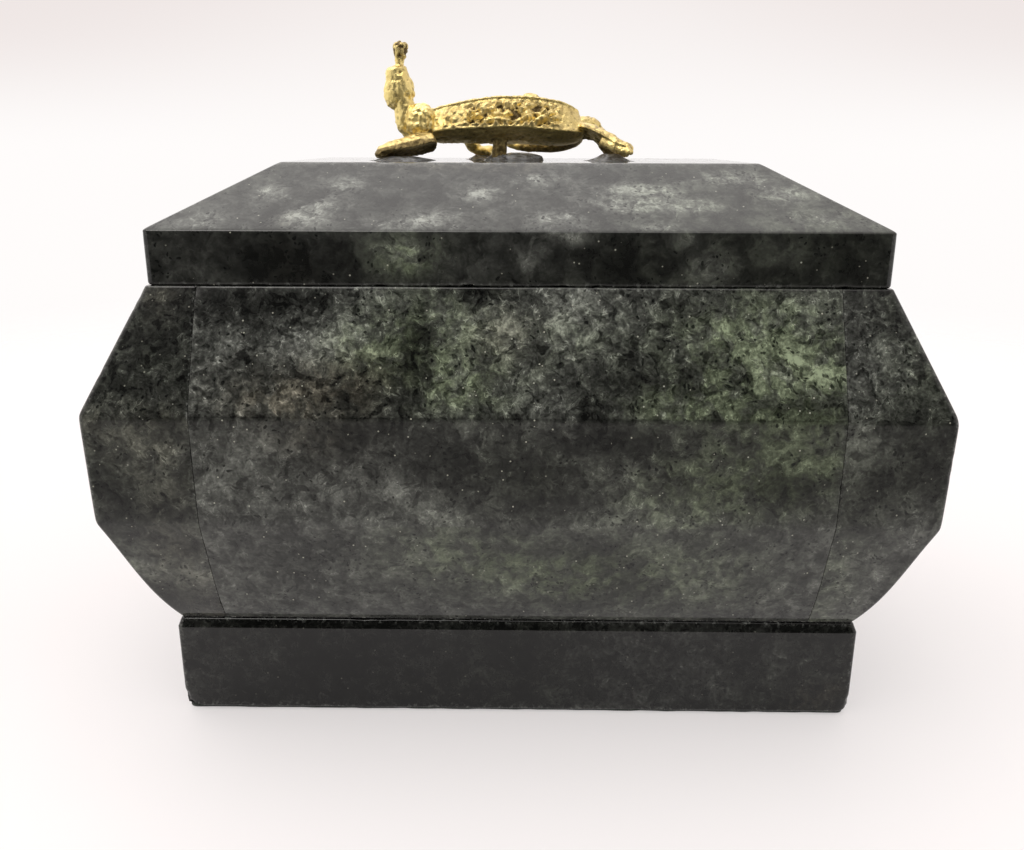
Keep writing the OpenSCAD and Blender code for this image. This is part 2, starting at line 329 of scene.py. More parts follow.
def painted_facet_shade(z):
    """Painted shade: a step in tone from each ground face of the walls to the next, lighter on the upper and
    lower slopes and darker on the waist, so that the facets tell apart.
    """
    return per_face(z, 0.0, 0.16, -0.18, 0.1, 0.0)


def drift(seed, level=0.0, moss=0.6, patches=None):
    """Clouds for faces that nobody has seen: random fields of two sizes about a level, with moss and rust
    here and there, and away from the front a painted shade for each ground face. Patches, if given, are
    ovals in x and z near the front."""
    def clouds(points):
        x, y, z = points[..., 0], points[..., 1], points[..., 2]
        wide = field(points * np.array([1.0, 1.0, 1.5]), 15.0, seed) - 0.5
        small = field(points * np.array([1.0, 1.0, 1.3]), 6.0, seed + 31) - 0.5
        green = np.clip((field(points, 22.0, seed + 7) - 0.4) / 0.3, 0, 1) * moss
        brown = np.clip((field(points, 18.0, seed + 13) - 0.62) / 0.2, 0, 1) * 0.8
        unseen = np.clip((y + 30) / 6, 0, 1)
        # Painted shade: away from the front, each ground face gets its own step in tone.
        cloud = level + 1.5 * wide + 1.1 * small + unseen * painted_facet_shade(z)
        if patches:
            cloud = cloud + np.clip((-28 - y) / 4, 0, 1) * ovals(x, z, patches)
        return {"cloud": cloud, "moss": green, "rust": brown, "depth": ground_depth(z)}
    return clouds


def by_face(x, z, patches, beyond=0.25):
    """Ovals that mostly keep to their own ground face: beyond its ridges, a patch shows only faintly."""
    total = np.zeros_like(x)
    for low, high in ((0.0, WAIST_LOW), (WAIST_LOW, WAIST_HIGH), (WAIST_HIGH, 99.0)):
        own = [patch for patch in patches if low <= patch[1] < high]
        total += ovals(x, z, own) * np.where((z >= low) & (z < high), 1.0, beyond)
    return total


def front_clouds(points):
    """The photographed patches, through the whole thickness of the front plate, with painted shade at the
    upper ridge: lighter above it, darker below it, and a dark line along it.
    """
    x, z = points[..., 0], points[..., 2]
    # Painted shade: a step in tone at the upper ridge and a dark line along it.
    cloud = by_face(x, z, FRONT_CLOUDS) + np.where(z >= WAIST_HIGH, 0.06, -0.06)
    cloud -= 0.5 * bell((z - WAIST_HIGH) / 0.15)
    moss, rust = by_face(x, z, FRONT_MOSS, 0.5), by_face(x, z, FRONT_RUST, 0.5)
    return {"cloud": cloud, "moss": moss, "rust": rust, "depth": ground_depth(z)}


def lid_clouds(points):
    """Photographed patches on a calm ground at the lid's front, drifting clouds on the rest, and painted
    shade that sets the upright rim darker than the slopes all round.
    """
    values = drift(11, 0.2, 0.3)(points)
    x, y, z = points[..., 0], points[..., 1], points[..., 2]
    front = np.clip((-20 - y) / 2, 0, 1)
    on_slope = np.clip((z - LID_EDGE + 0.2) / 0.4, 0, 1)
    # Painted shade: the upright rim is set darker than the slopes, all round the lid.
    slope_tone, rim_tone = 1.5 * ovals(x, y, SLOPE_CLOUDS) - 0.03, ovals(x, z, RIM_CLOUDS) - 0.65
    seen = on_slope * slope_tone + (1 - on_slope) * rim_tone
    values["cloud"] = front * seen + (1 - front) * (values["cloud"] - 0.4 * (1 - on_slope))
    values["depth"] = np.where(front > 0.5, 0.42 + 0.55 * np.clip(seen, 0, 1), values["depth"])
    values["moss"] = np.maximum(values["moss"], (1 - on_slope) * ovals(x, z, RIM_MOSS))
    return values


print("cloud patches:", len(FRONT_CLOUDS) + len(RIM_CLOUDS) + len(SLOPE_CLOUDS))

# %% [markdown]
# ## The walls
# Four plates stand on the plinth. The long ones fit between the side plates, so the ends of the side
# plates show at the front beside two hairline seams. Outside, all four are ground to an upper slope, an
# upright waist and a lower slope, which bellies out a little. The profile is the least of these three
# lines, with its two ridges softened.

# %% Walls
HALF_W, HALF_D, DRAW, LEAN, BELLY = 65.5, 47.0, 8.75, 0.3, 0.6
WALL_T, SEAM = 16.5, 0.08
SEAM_R, CORNER_R, INNER_R = 0.04, 0.75, 0.3
WALL_ROLL, RIDGE_SOFT, WALL_END_WEAR = 0.18, 0.12, 0.08
RIDGES = (WAIST_LOW, WAIST_HIGH)
LEFT_PATCHES = [(-57, 64, 8, 8, -0.45), (-57, 47, 9, 8, 1.2), (-57, 28, 9, 6, 0.9)]
RIGHT_PATCHES = [(57, 64, 9, 8, 0.8), (57, 47, 9, 7, -0.8)]


def bulge(z, half):
    """Half the outer size at height z: the least of the lower slope, which bellies out a little near its
    foot, the waist and the upper slope."""
    t = (z - FOOT_Z) / (WAIST_LOW - FOOT_Z)
    lower = half - DRAW + (DRAW - LEAN) * t + BELLY * 6.75 * t * np.clip(1 - t, 0, 1) ** 2
    waist = half - LEAN * (WAIST_HIGH - z) / (WAIST_HIGH - WAIST_LOW)
    upper = half - DRAW * (z - WAIST_HIGH) / (RIM_Z - WAIST_HIGH)
    return soft_min(soft_min(lower, waist, RIDGE_SOFT), upper, RIDGE_SOFT)


wall_z, wall_inset = plate_rows(FOOT_Z, RIM_Z, WALL_ROLL, RIDGES)
inner_x, inner_y = HALF_W - WALL_T, HALF_D - WALL_T
out_x, out_y = bulge(wall_z, HALF_W), bulge(wall_z, HALF_D)
seam_x = inner_x - SEAM
WALLS = {
    "front_wall_stone": ((-seam_x, seam_x, -out_y, -inner_y), (SEAM_R, SEAM_R, INNER_R, INNER_R),
                         front_clouds, 0.2, 1, 0.12),
    # The back wall's ridges are paler than the others': partly wear, partly a painted highlight that sets its
    # facets apart.
    "back_wall_stone": ((-seam_x, seam_x, inner_y, out_y), (INNER_R, INNER_R, SEAM_R, SEAM_R),
                        drift(3, 0.1, 0.8), 0.2, 2, 0.5),
    "left_wall_stone": ((-out_x, -inner_x, -out_y, out_y), (CORNER_R, SEAM_R, SEAM_R, CORNER_R),
                        drift(4, 0.0, 0.2, LEFT_PATCHES), 0.3, 3, 0.12),
    "right_wall_stone": ((inner_x, out_x, -out_y, out_y), (SEAM_R, CORNER_R, CORNER_R, SEAM_R),
                         drift(5, 0.0, 0.4, RIGHT_PATCHES), 0.3, 4, 0.12),
}
front_wall, back_wall, left_wall, right_wall = (
    stone_plate(name, wall_z, wall_inset, sides, radii, RIDGES, clouds, nick, seed,
                ridge_wear=wear, end_wear=WALL_END_WEAR)
    for name, (sides, radii, clouds, nick, seed, wear) in WALLS.items()
)
for wall in (front_wall, back_wall, left_wall, right_wall):
    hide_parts(wall.name.removesuffix("_stone"))
    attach(wall, "box")
    print(wall.name, len(wall.data.polygons), "faces")

# %% [markdown]
# ## Plinth and lid
# The plinth is one slab whose top edge is ground to a narrow slope; both of its front corners have lost
# chips at the foot. The lid is one slab too, with an upright rim and four slopes up to a flat top. A
# plate glued under it drops into the box and keeps the lid in place.

# %% Plinth and lid
PLINTH_LOW, PLINTH_HIGH, PLINTH_ROLL, PLINTH_CORNER = 0.7, 17.5, 0.35, 0.8
LEDGE, LEDGE_H = 0.6, 1.6
LEDGE_LOW = PLINTH_HIGH - LEDGE_H
plinth_x, plinth_y = HALF_W - DRAW + LEDGE, HALF_D - DRAW + LEDGE
plinth_z, plinth_inset = plate_rows(PLINTH_LOW, PLINTH_HIGH, PLINTH_ROLL, (LEDGE_LOW,))
ledge = np.clip((plinth_z - PLINTH_HIGH + LEDGE_H) / LEDGE_H, 0, 1) * LEDGE
PLINTH_CHIPS = [
    ((plinth_x - 0.1, -plinth_y + 0.1, PLINTH_LOW + 0.2), 1.0, 0.7),
    ((plinth_x, -plinth_y + 0.1, PLINTH_LOW + 2.2), 0.7, 0.4),
    ((-plinth_x + 0.1, -plinth_y + 0.1, PLINTH_LOW + 0.3), 2.0, 0.5),
]
plinth = stone_plate("plinth_stone", plinth_z, plinth_inset, centred(plinth_x - ledge, plinth_y - ledge),
                     (PLINTH_CORNER,) * 4, (LEDGE_LOW,), drift(7, 0.0, 0.2), 0.4, 5, PLINTH_CHIPS)
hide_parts("plinth")
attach(plinth, "box")

LID_TOP, LID_SLOPE, LID_INSET, LID_ROLL, LID_SOFT = 91.4, 17.2, 0.25, 0.5, 0.15
lid_x, lid_y = HALF_W - DRAW - LID_INSET, HALF_D - DRAW - LID_INSET
lid_z, lid_inset = plate_rows(RIM_Z, LID_TOP, LID_ROLL, (LID_EDGE,), 0.5)
slope = soft_min(0 * lid_z, -LID_SLOPE * (lid_z - LID_EDGE) / (LID_TOP - LID_EDGE), LID_SOFT)
lid_inset = lid_inset * np.where(lid_z > LID_EDGE, 0.35, 1.0)
lid_corner = np.repeat(0.35 + 0.6 * np.clip((LID_EDGE + 0.4 - lid_z) / 0.8, 0, 1), 4).reshape(-1, 4)
lid_slab = stone_plate("lid_stone", lid_z, lid_inset, centred(lid_x + slope, lid_y + slope),
                       lid_corner, (LID_EDGE,), lid_clouds, 0.35, 6)
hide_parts("lid_slab")
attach(lid_slab, "lid")

GLUE, REGISTER_T, REGISTER_GAP, REGISTER_ROLL, REGISTER_CORNER = 0.2, 4.0, 0.8, 0.25, 0.4
register_x, register_y = inner_x - REGISTER_GAP, inner_y - REGISTER_GAP
register_z, register_inset = plate_rows(RIM_Z - GLUE - REGISTER_T, RIM_Z - GLUE, REGISTER_ROLL, (), 0.6)
cut = np.clip(1.0 - (register_z - register_z[0]), 0, 1)
lid_register = stone_plate("lid_register_stone", register_z, register_inset,
                           centred(register_x - cut, register_y - cut),
                           (REGISTER_CORNER,) * 4, (), drift(8, 0.0, 0.3), 0.2, 7)
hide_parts("lid_register")
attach(lid_register, "lid")
print("stone pieces:", [o.name for o in (plinth, lid_slab, lid_register)])

# %% [markdown]
# ## The lizard's forms
# The lizard is a casting about 46 mm long: a low trunk on splayed legs, a neck that rises straight up to
# a blunt head with a knob on it, and a tail that turns back behind the trunk. Each part is a tube:
# stations along a curve give its middle, half width and half height, a smooth spline runs through them,
# and a ring is carried along. Sculpting would be another way, but stations can be checked against the
# photograph one by one.

# %% Tubes
DOME_STEPS, LAST_TURN, THINNEST = 6, 0.15, 0.02


def spline(stations, count):
    """A smooth curve through rows of numbers: each cubic between two rows also heeds their neighbours."""
    p = np.asarray(stations, dtype=float)
    p = np.vstack([2 * p[0] - p[1], p, 2 * p[-1] - p[-2]])
    s = np.linspace(0, len(p) - 3 - 1e-9, count)
    i = s.astype(int)
    t = (s - i)[:, None]
    a, b, c, d = p[i], p[i + 1], p[i + 2], p[i + 3]
    return 0.5 * (2 * b + (c - a) * t + (2 * a - 5 * b + 4 * c - d) * t**2 + (3 * b - a - 3 * c + d) * t**3)


def oval(a):
    """A plain oval ring: across and up, in half widths and half heights."""
    return np.cos(a), np.sin(a)


def hollow_back(a):
    """The ring of a casting hollowed out underneath: a full dome above and a slightly concave underside."""
    s, c = np.sin(a), np.cos(a)
    return np.sign(c) * np.abs(c) ** 0.8, np.where(s > 0, np.abs(s) ** 0.85, 0.12 * np.abs(s))


TRUNK_SECTION = [
    (1.0, 0.0), (1.03, 0.05), (0.97, 0.1), (0.9, 0.4), (0.81, 0.64), (0.71, 0.84), (0.69, 0.89),
    (0.77, 0.91), (0.76, 0.945), (0.62, 0.985), (0.2, 1.0), (-0.3, 0.97), (-0.62, 0.86), (-0.86, 0.5),
    (-0.97, 0.1), (-1.03, 0.05), (-1.0, 0.0), (-0.93, 0.0), (-0.5, -0.08), (0.0, -0.12), (0.5, -0.08),
    (0.93, 0.0),
]


def trunk_ring(a):
    """The trunk's own ring: steep flanks with a bead along each rim, a lip beside the spine with a groove
    under it, and a concave underside. Its corners are walked at an even pace."""
    p = np.array(TRUNK_SECTION + TRUNK_SECTION[:1])
    walk = np.concatenate([[0], np.cumsum(np.hypot(*np.diff(p, axis=0).T))])
    at = a / (2 * np.pi) * walk[-1]
    return np.interp(at, walk, p[:, 0]), np.interp(at, walk, p[:, 1])


def tube(stations, up=(0, 0, 1), count=40, around=28, ring=oval, roll=0.0, cap=None):
    """A closed tube of x, y, z, half width, half height: the ring is carried along the spline, rolled
    about it in degrees. Both ends are domes that reach as far as the ring is thin, or as far as cap."""
    rows = spline(stations, count)
    middle, width, height = rows[:, :3], rows[:, 3], rows[:, 4]
    ahead = np.gradient(middle, axis=0)
    ahead /= np.linalg.norm(ahead, axis=1, keepdims=True)
    turn = np.linspace(np.pi / 2, LAST_TURN, DOME_STEPS)
    ends = []
    for k, sign in ((0, -1), (-1, 1)):
        reach = min(width[k], height[k]) if cap is None else cap
        dome = middle[k] + sign * reach * np.sin(turn)[:, None] * ahead[k]
        ends.append((dome, np.cos(turn) * width[k], np.cos(turn) * height[k]))
    (m0, w0, h0), (m1, w1, h1) = ends
    middle = np.vstack([m0, middle, m1[::-1]])
    width = np.maximum(np.concatenate([w0, width, w1[::-1]]), THINNEST)
    height = np.maximum(np.concatenate([h0, height, h1[::-1]]), THINNEST)
    ahead = np.vstack([np.repeat(ahead[:1], DOME_STEPS, 0), ahead, np.repeat(ahead[-1:], DOME_STEPS, 0)])
    side = np.cross(ahead, np.asarray(up, dtype=float))
    side /= np.linalg.norm(side, axis=1, keepdims=True)
    top = np.cross(side, ahead)
    c, s = np.cos(np.radians(roll)), np.sin(np.radians(roll))
    side, top = c * side + s * top, c * top - s * side
    across, rise = ring(np.linspace(0, 2 * np.pi, around, endpoint=False))
    return (middle[:, None] + width[:, None, None] * across[None, :, None] * side[:, None]
            + height[:, None, None] * rise[None, :, None] * top[:, None])


def join(parts):
    """Points and faces of several closed tubes in one list."""
    points, faces, start = [], [], 0
    for grid in parts:
        rows, around = grid.shape[:2]
        points.append(grid.reshape(-1, 3))
        faces += stack_faces(rows, around, start)
        start += rows * around
    return np.concatenate(points), faces


print("tube helpers ready")

# %% [markdown]
# The stations below are in millimetres above the middle of the lid's flat top. The lizard looks to the
# left. Toes are short thin tubes that fan out from each foot.

# %% Lizard stations
TRUNK = [
    (-16.6, -0.8, 3.9, 2.7, 4.5), (-14.6, -0.5, 4.0, 3.2, 5.0), (-12.0, -0.2, 4.1, 3.6, 5.5),
    (-8.0, 0, 4.15, 4.1, 6.15), (-3.4, 0, 4.25, 4.4, 6.5), (1.0, 0, 4.2, 4.4, 6.5),
    (4.6, 0, 3.95, 4.2, 6.4), (7.6, 0.2, 3.75, 3.9, 6.05), (9.4, 0.6, 3.75, 3.5, 5.5),
    (10.5, 1.0, 3.8, 3.1, 4.9),
]
TAIL = [
    (8.8, 1.4, 6.2, 2.4, 2.6), (10.2, 4.2, 5.2, 2.0, 2.2), (9.9, 6.8, 3.9, 1.7, 1.8),
    (7.6, 8.9, 2.8, 1.4, 1.4), (4.4, 9.8, 2.4, 1.15, 1.1), (1.4, 9.8, 2.35, 1.0, 1.0),
    (-0.8, 9.0, 2.4, 0.75, 0.75), (-2.0, 8.2, 2.75, 0.62, 0.62),
]
NECK = [
    (-20.0, -0.9, 5.0, 1.5, 1.7), (-20.4, -0.9, 6.2, 2.1, 2.0), (-20.6, -1, 8.0, 2.05, 2.0),
    (-20.9, -1, 9.6, 1.8, 1.9), (-21.3, -1, 11.0, 2.0, 2.0),
]
HEAD = [
    (-21.1, -1, 10.1, 1.8, 1.7), (-21.65, -1, 10.7, 2.55, 1.95), (-21.7, -1, 11.6, 2.75, 2.15),
    (-21.75, -1, 12.8, 2.55, 2.15), (-21.95, -1, 14.0, 2.2, 2.0), (-22.2, -1, 15.5, 1.85, 1.75),
]
CHIN = [(-21.8, -1, 9.55, 1.3, 0.5), (-23.6, -1, 9.6, 1.0, 0.4)]
KNOB = [
    (-21.75, -1, 15.8, 0.9, 0.9), (-21.65, -1, 16.6, 0.74, 0.74), (-21.45, -1, 17.6, 0.98, 0.98),
    (-21.3, -1, 18.6, 1.3, 1.3), (-21.3, -1, 19.35, 1.38, 1.38),
]
SHOULDERS = [
    [(-17.9, -2.5, 6.3, 2.6, 2.6), (-17.9, -2.5, 7.7, 2.5, 2.5)],
    [(-16.6, 1.9, 5.8, 2.3, 2.3), (-16.6, 1.9, 7.0, 2.2, 2.2)],
]
FORE_NEAR = [
    (-15.7, -4.2, 2.1, 2.5, 2.6), (-18.0, -5.0, 1.6, 2.5, 3.0), (-20.5, -6.3, 1.15, 2.2, 2.7),
    (-22.8, -7.3, 0.9, 1.9, 2.35), (-24.4, -8.0, 0.8, 1.6, 1.7),
]
FORE_FAR = [
    (-15.6, 2.6, 5.4, 1.9, 1.8), (-12.8, 5.0, 5.2, 1.6, 1.5), (-10.2, 6.6, 4.4, 1.4, 1.3),
    (-9.0, 7.2, 2.5, 1.3, 1.2), (-7.4, 7.4, 1.5, 1.3, 0.9), (-5.6, 7.6, 1.8, 1.0, 0.7),
]
HIND_NEAR = [
    (10.2, 1.2, 4.6, 1.6, 1.7), (12.0, -1.0, 4.6, 2.1, 1.8), (13.6, -2.9, 3.9, 2.3, 1.9),
    (15.6, -4.5, 2.9, 2.0, 1.9), (17.3, -5.5, 2.0, 1.8, 1.8), (18.7, -6.0, 1.6, 1.7, 1.5),
]
HIND_FOOT = [
    (15.0, -4.6, 3.1, 1.4, 1.2), (17.0, -5.4, 2.6, 1.6, 1.1), (18.8, -6.0, 2.1, 1.5, 0.9),
    (19.5, -6.2, 1.85, 1.2, 0.7),
]
HIND_FAR = [
    (9.2, 2.2, 5.4, 2.0, 2.0), (12.7, 3.2, 6.3, 1.7, 1.5), (14.6, 4.4, 4.9, 1.4, 1.3),
    (16.0, 5.8, 2.9, 1.3, 1.2), (17.0, 6.7, 1.5, 1.2, 1.0),
]
HUMP = [(1.2, 1.6, 10.2, 1.2, 1.5), (2.6, 1.6, 10.1, 1.2, 1.5)]
PEG = [(-3.6, 0, -4.4, 1.25, 1.25), (-3.6, 0, 0.0, 1.25, 1.25), (-3.6, 0, 6.0, 1.25, 1.25)]
COLLAR = [
    (-3.8, 0, 0.1, 1.5, 1.5), (-3.8, 0, 1.1, 1.35, 1.35), (-3.7, 0, 2.4, 1.2, 1.2),
    (-3.65, 0, 4.6, 1.0, 1.0),
]
TOES = [
    ((-24.0, -7.8, 1.35), 205, 1.25), ((-7.3, 7.2, 1.35), 8, 1.5), ((18.0, -5.9, 1.8), -12, 1.9),
    ((17.0, 6.7, 1.35), 38, 1.9),
]


def toes(at, heading, length, spread=25, count=4):
    """Thin tubes that fan out from a foot, at even angles about its heading in degrees."""
    turn = np.radians(heading + spread * (np.arange(count) - (count - 1) / 2))
    x, y, z = at
    return [[(x, y, z, 0.55, 0.6), (x + 0.6 * length * np.cos(t), y + 0.6 * length * np.sin(t), z, 0.5, 0.6),
             (x + length * np.cos(t), y + length * np.sin(t), z - 0.25, 0.42, 0.5)] for t in turn]


UPRIGHT = (0, 1, 0)
LIMBS = [(FORE_NEAR, -24, 0.9), (HIND_NEAR, 38, 0.9), (HIND_FOOT, -30, 0.6)]
forms = [tube(TRUNK, count=80, around=96, ring=trunk_ring, roll=20, cap=0.9), tube(TAIL, count=60)]
forms += [tube(NECK, UPRIGHT), tube(HEAD, UPRIGHT, cap=0.75), tube(CHIN)]
forms += [tube(KNOB, UPRIGHT, cap=0.95), tube(HUMP)]
forms += [tube(s, UPRIGHT, cap=2.2) for s in SHOULDERS]
forms += [tube(s, around=40, ring=hollow_back, roll=roll, cap=cap) for s, roll, cap in LIMBS]
forms += [tube(FORE_FAR), tube(HIND_FAR), tube(PEG, UPRIGHT, cap=0.3), tube(COLLAR, UPRIGHT, cap=0.1)]
forms += [tube(t, count=12, around=14) for fan in TOES for t in toes(*fan)]
print("lizard forms:", len(forms))

# %% [markdown]
# ## Casting the lizard
# Overlapping tubes would show hard creases where they cross. A voxel remesh turns them into one skin, as
# the poured metal does, and a few smoothing steps soften the joins. Points under the feet are lifted off
# the lid first, which leaves room for the glue.

# %% Casting
VOXEL = 0.16 * MM
FOOT_CLEAR, PEG_CLEAR, PEG_X = 0.3, 2.2, -3.7
SOFTEN_BY, SOFTEN_TIMES = 0.5, 3
ON_LID = np.array([0, 0, LID_TOP])
skin_points, skin_faces = join(forms)
by_peg = np.hypot(skin_points[:, 0] - PEG_X, skin_points[:, 1]) < PEG_CLEAR
skin_points[:, 2] = np.where(by_peg, skin_points[:, 2], np.maximum(skin_points[:, 2], FOOT_CLEAR))
skin = piece("lizard_skin", (skin_points + ON_LID) * MM, skin_faces)
fuse = skin.modifiers.new("fuse", "REMESH")
fuse.mode, fuse.voxel_size = "VOXEL", VOXEL
soften = skin.modifiers.new("soften", "SMOOTH")
soften.factor, soften.iterations = SOFTEN_BY, SOFTEN_TIMES
fused = bpy.data.meshes.new_from_object(skin.evaluated_get(bpy.context.evaluated_depsgraph_get()))
bpy.data.objects.remove(skin)
print("fused skin:", len(fused.polygons), "faces")

# %% [markdown]
# The relief comes after that: large worn scales on the flanks, small ones on the shoulder, pits in the
# knob, and a faint grain everywhere. Scales are drawn from scattered middles: the nearer a point is to
# one of them, the higher it stands.

# %% Relief helpers
SCALE_LONG, SCALE_HIGH, SCALE_SLANT = 1.75, 1.3, 0.3
MIDLINE_Y, FAR_RIM_DROP, FAR_SHIFT = 0.6, 2.9, 40


def mesh_rows(mesh, what):
    """Coordinates or normals of a mesh's points as rows of three."""
    rows = np.empty(len(mesh.vertices) * 3, dtype=np.float32)
    if what == "co":
        mesh.vertices.foreach_get("co", rows)
    else:
        mesh.vertex_normals.foreach_get("vector", rows)
    return rows.reshape(-1, 3).astype(float)


def cell_distance(points, size, seed, stray=0.7, order=2):
    """Distance to the nearest of scattered middles, one in each cell of a lattice, counted in cells. A
    middle may stray from the middle of its cell by half of stray. Order 1 sums the steps along the axes,
    which gives diamonds."""
    p = points / size
    axes = p.shape[1]
    base = np.floor(p)
    nearest = np.full(len(p), 9.0)
    for step in np.ndindex(*(3,) * axes):
        cell = base + np.array(step) - 1
        code = np.pad(cell, ((0, 0), (0, 3 - axes)))
        off = np.stack([hashed(code, seed + i) for i in range(axes)], axis=-1) - 0.5
        middle = cell + 0.5 + stray * off
        nearest = np.minimum(nearest, np.linalg.norm(p - middle, ord=order, axis=1))
    return nearest


def smooth_step(value, low, high):
    """0 below low, 1 above high, eased between; the other way round when high is less than low."""
    t = np.clip((value - low) / (high - low), 0, 1)
    return t * t * (3 - 2 * t)


def window(value, low, full_low, full_high, high):
    """1 between full_low and full_high, easing off to 0 at low and high."""
    return smooth_step(value, low, full_low) * smooth_step(value, high, full_high)


def flank_scales(p, facing):
    """How high the worn scales stand on the flanks, from 0 in the gaps to 1, where they are, where the
    groove under the lip is, and how far up the flank a point lies. Scattered middles on the unrolled
    flank, slanted and longer than high, each give a scale of its own height."""
    x, y, z = p.T
    spine = spline(TRUNK, 200)
    top, rim = (np.interp(x, spine[:, 0], spine[:, 2] + k * spine[:, n]) for k, n in ((0.97, 4), (0.34, 3)))
    near = y < MIDLINE_Y
    rim = np.where(near, rim, rim - FAR_RIM_DROP)
    up = (z - rim) / (top - rim)
    along = x / SCALE_LONG - SCALE_SLANT * z + np.where(near, 0, FAR_SHIFT)
    flat = np.stack([along, z / SCALE_HIGH], axis=1)
    ragged = p * np.array([1.0, 0.4, 1.0])
    away = cell_distance(flat, 1.0, 71, 0.7, 1) + 0.3 * (field(ragged, 0.7, 75) - 0.5)
    height = np.clip((0.95 - away) / 0.7, 0, 1) * (0.6 + 0.7 * field(ragged, 1.2, 73))
    height = height + 0.4 * (field(ragged, 0.45, 77) - 0.5)
    where = window(up, 0.07, 0.15, 0.93, 1.0) * smooth_step(x, 8.2, 6.4) * smooth_step(facing, -0.3, 0.1)
    where *= 0.35 * smooth_step(x, -14.5, -13.0) + 0.65 * smooth_step(x, -11.0, -8.5)
    groove = bell((up - 1.01) / 0.05) * window(x, -9.0, -5.0, 7.0, 9.0)
    aside = np.clip((np.abs(y - 0.3) - 1.2) / 0.8, 0, 1)
    return height, where * aside, groove * aside, up


def near_ball(p, middle, radius):
    """1 inside a ball, fading to 0 over its last half millimetre."""
    return np.clip((radius - np.linalg.norm(p - np.array(middle), axis=1)) / 0.5, 0, 1)


print("relief helpers ready")

# %% [markdown]
# Each kind of relief has a place, which fades out at its borders, and a depth. Their sum moves every
# point of the skin along its normal, apart from the soles.

# %% Relief
SCALE_RISE, SCALE_SINK = 1.3, 0.5
SHOULDER_DEPTH, KNOB_DEPTH, BALL_RISE = 0.14, 0.24, 0.05
CAST_DEPTH, LUMP_DEPTH, EYE_DEPTH, CREASE_DEPTH = 0.24, 0.22, 0.2, 0.07
HIGHEST = 20.4
co, normal = mesh_rows(fused, "co") / MM - ON_LID, mesh_rows(fused, "normal")
x, y, z = co.T
scales, on_flank, groove, up = flank_scales(co, normal[:, 2])
on_shoulder = np.maximum(near_ball(co, (-17.9, -2.9, 7.0), 3.3), near_ball(co, (-16.6, 2.4, 6.6), 2.7))
shoulder_gap = smooth_step(cell_distance(co, 0.85, 51, 0.9), 0.36, 0.68)
on_knob = near_ball(co, (-21.3, -1, 19.0), 2.1)
knob_gap = smooth_step(field(co, 0.55, 53), 0.6, 0.36)
rough_cast = field(co, 0.55, 57) - 0.5
lumps = field(co, 1.5, 58) - 0.5
back_half = window(x, 5.5, 8.0, 10.0, 12.0)
eye = sum(near_ball(co, (-21.2, -1 + s * 1.9, 15.0), 0.65) for s in (-1, 1))
crease = bell((x + 22.0 + 0.15 * (z - 11)) / 0.28) * window(z, 9.2, 10.2, 13.0, 14.2)
relief = on_flank * (SCALE_RISE * scales - SCALE_SINK)
relief -= on_shoulder * (SHOULDER_DEPTH * shoulder_gap - BALL_RISE)
relief -= on_knob * (KNOB_DEPTH * knob_gap - BALL_RISE)
relief += (CAST_DEPTH * rough_cast + LUMP_DEPTH * lumps) * (1 - 0.8 * back_half) * (1 - 0.5 * on_knob)
relief -= EYE_DEPTH * eye + CREASE_DEPTH * crease
above = smooth_step(z, 0.4, 1.0)
co = co + normal * (relief * above)[:, None]
co[:, 2] = np.minimum(co[:, 2], HIGHEST)
print("relief from", relief.min().round(2), "to", relief.max().round(2), "mm")

# %% [markdown]
# Brass stays dark where no brush reaches, and some places are darkened as painted shade: the belly, round
# the post, the near faces of the fore leg, hind leg and tail, and partly the groove under the lip. Each such
# place is a mask with an amount, and the largest of them is kept on the points as an attribute. Two more
# attributes tell how much a point looks down and up: "under" and "topside"; the brass turns both into
# painted shade.

# %% Patina and painted shade
x, y, z = co.T
gaps = on_flank * smooth_step(scales, 0.3, 0.04)
by_post = smooth_step(np.hypot(x - PEG_X, y), 1.9, 1.5) * smooth_step(z, 4.4, 3.6)
pits = smooth_step(rough_cast, -0.05, -0.3) * (1 - 0.6 * np.maximum(on_flank, on_shoulder))
on_trunk = window(x, -15.5, -14.5, 9.5, 11.0) * smooth_step(z, 2.4, 3.2)
plain_trunk = on_trunk * smooth_step(on_flank, 0.9, 0.4)
belly = smooth_step(up, -0.02, -0.12) * on_trunk
facing_near = smooth_step(-normal[:, 1], 0.0, 0.4)
above_arm = z - (1.7 + 0.24 * (x + 26.3))
arm_face = smooth_step(x, -14.0, -15.0) * smooth_step(above_arm, 0.2, -0.25) * smooth_step(z, 4.2, 3.6)
above_leg = z - (7.5 - 0.5 * (x - 11.7))
leg_ridge = bell((z - (4.1 - 0.33 * (x - 13.8))) / 0.22) * smooth_step(x, 13.0, 13.8)
leg_face = window(x, 11.2, 11.7, 15.2, 16.6) * smooth_step(above_leg, -0.8, -1.3)
leg_face *= facing_near * (1 - 0.8 * leg_ridge)
tail_face = smooth_step(y, 2.0, 3.5) * smooth_step(z, 5.2, 4.4) * smooth_step(x, -1.2, 0.4) * facing_near
# Patina in the scale gaps, the shoulder's gaps, the plain trunk, the eye, the knob, the crease and the pits;
# patina and painted shade in the groove under the lip; painted shade on the belly, round the post and on the
# near faces of the arm, hind leg and tail.
DARK_PLACES = [
    (1.0, gaps), (0.7, groove), (0.1, on_shoulder * shoulder_gap), (0.28, plain_trunk), (0.8, eye),
    (1.0, on_knob * (0.38 + 0.62 * knob_gap)), (0.3, belly), (0.3, crease), (0.7, by_post),
    (0.75, arm_face * facing_near), (0.6, leg_face), (0.7, tail_face), (0.5, pits),
]
patina_and_shade = np.max([amount * mask for amount, mask in DARK_PLACES], axis=0)
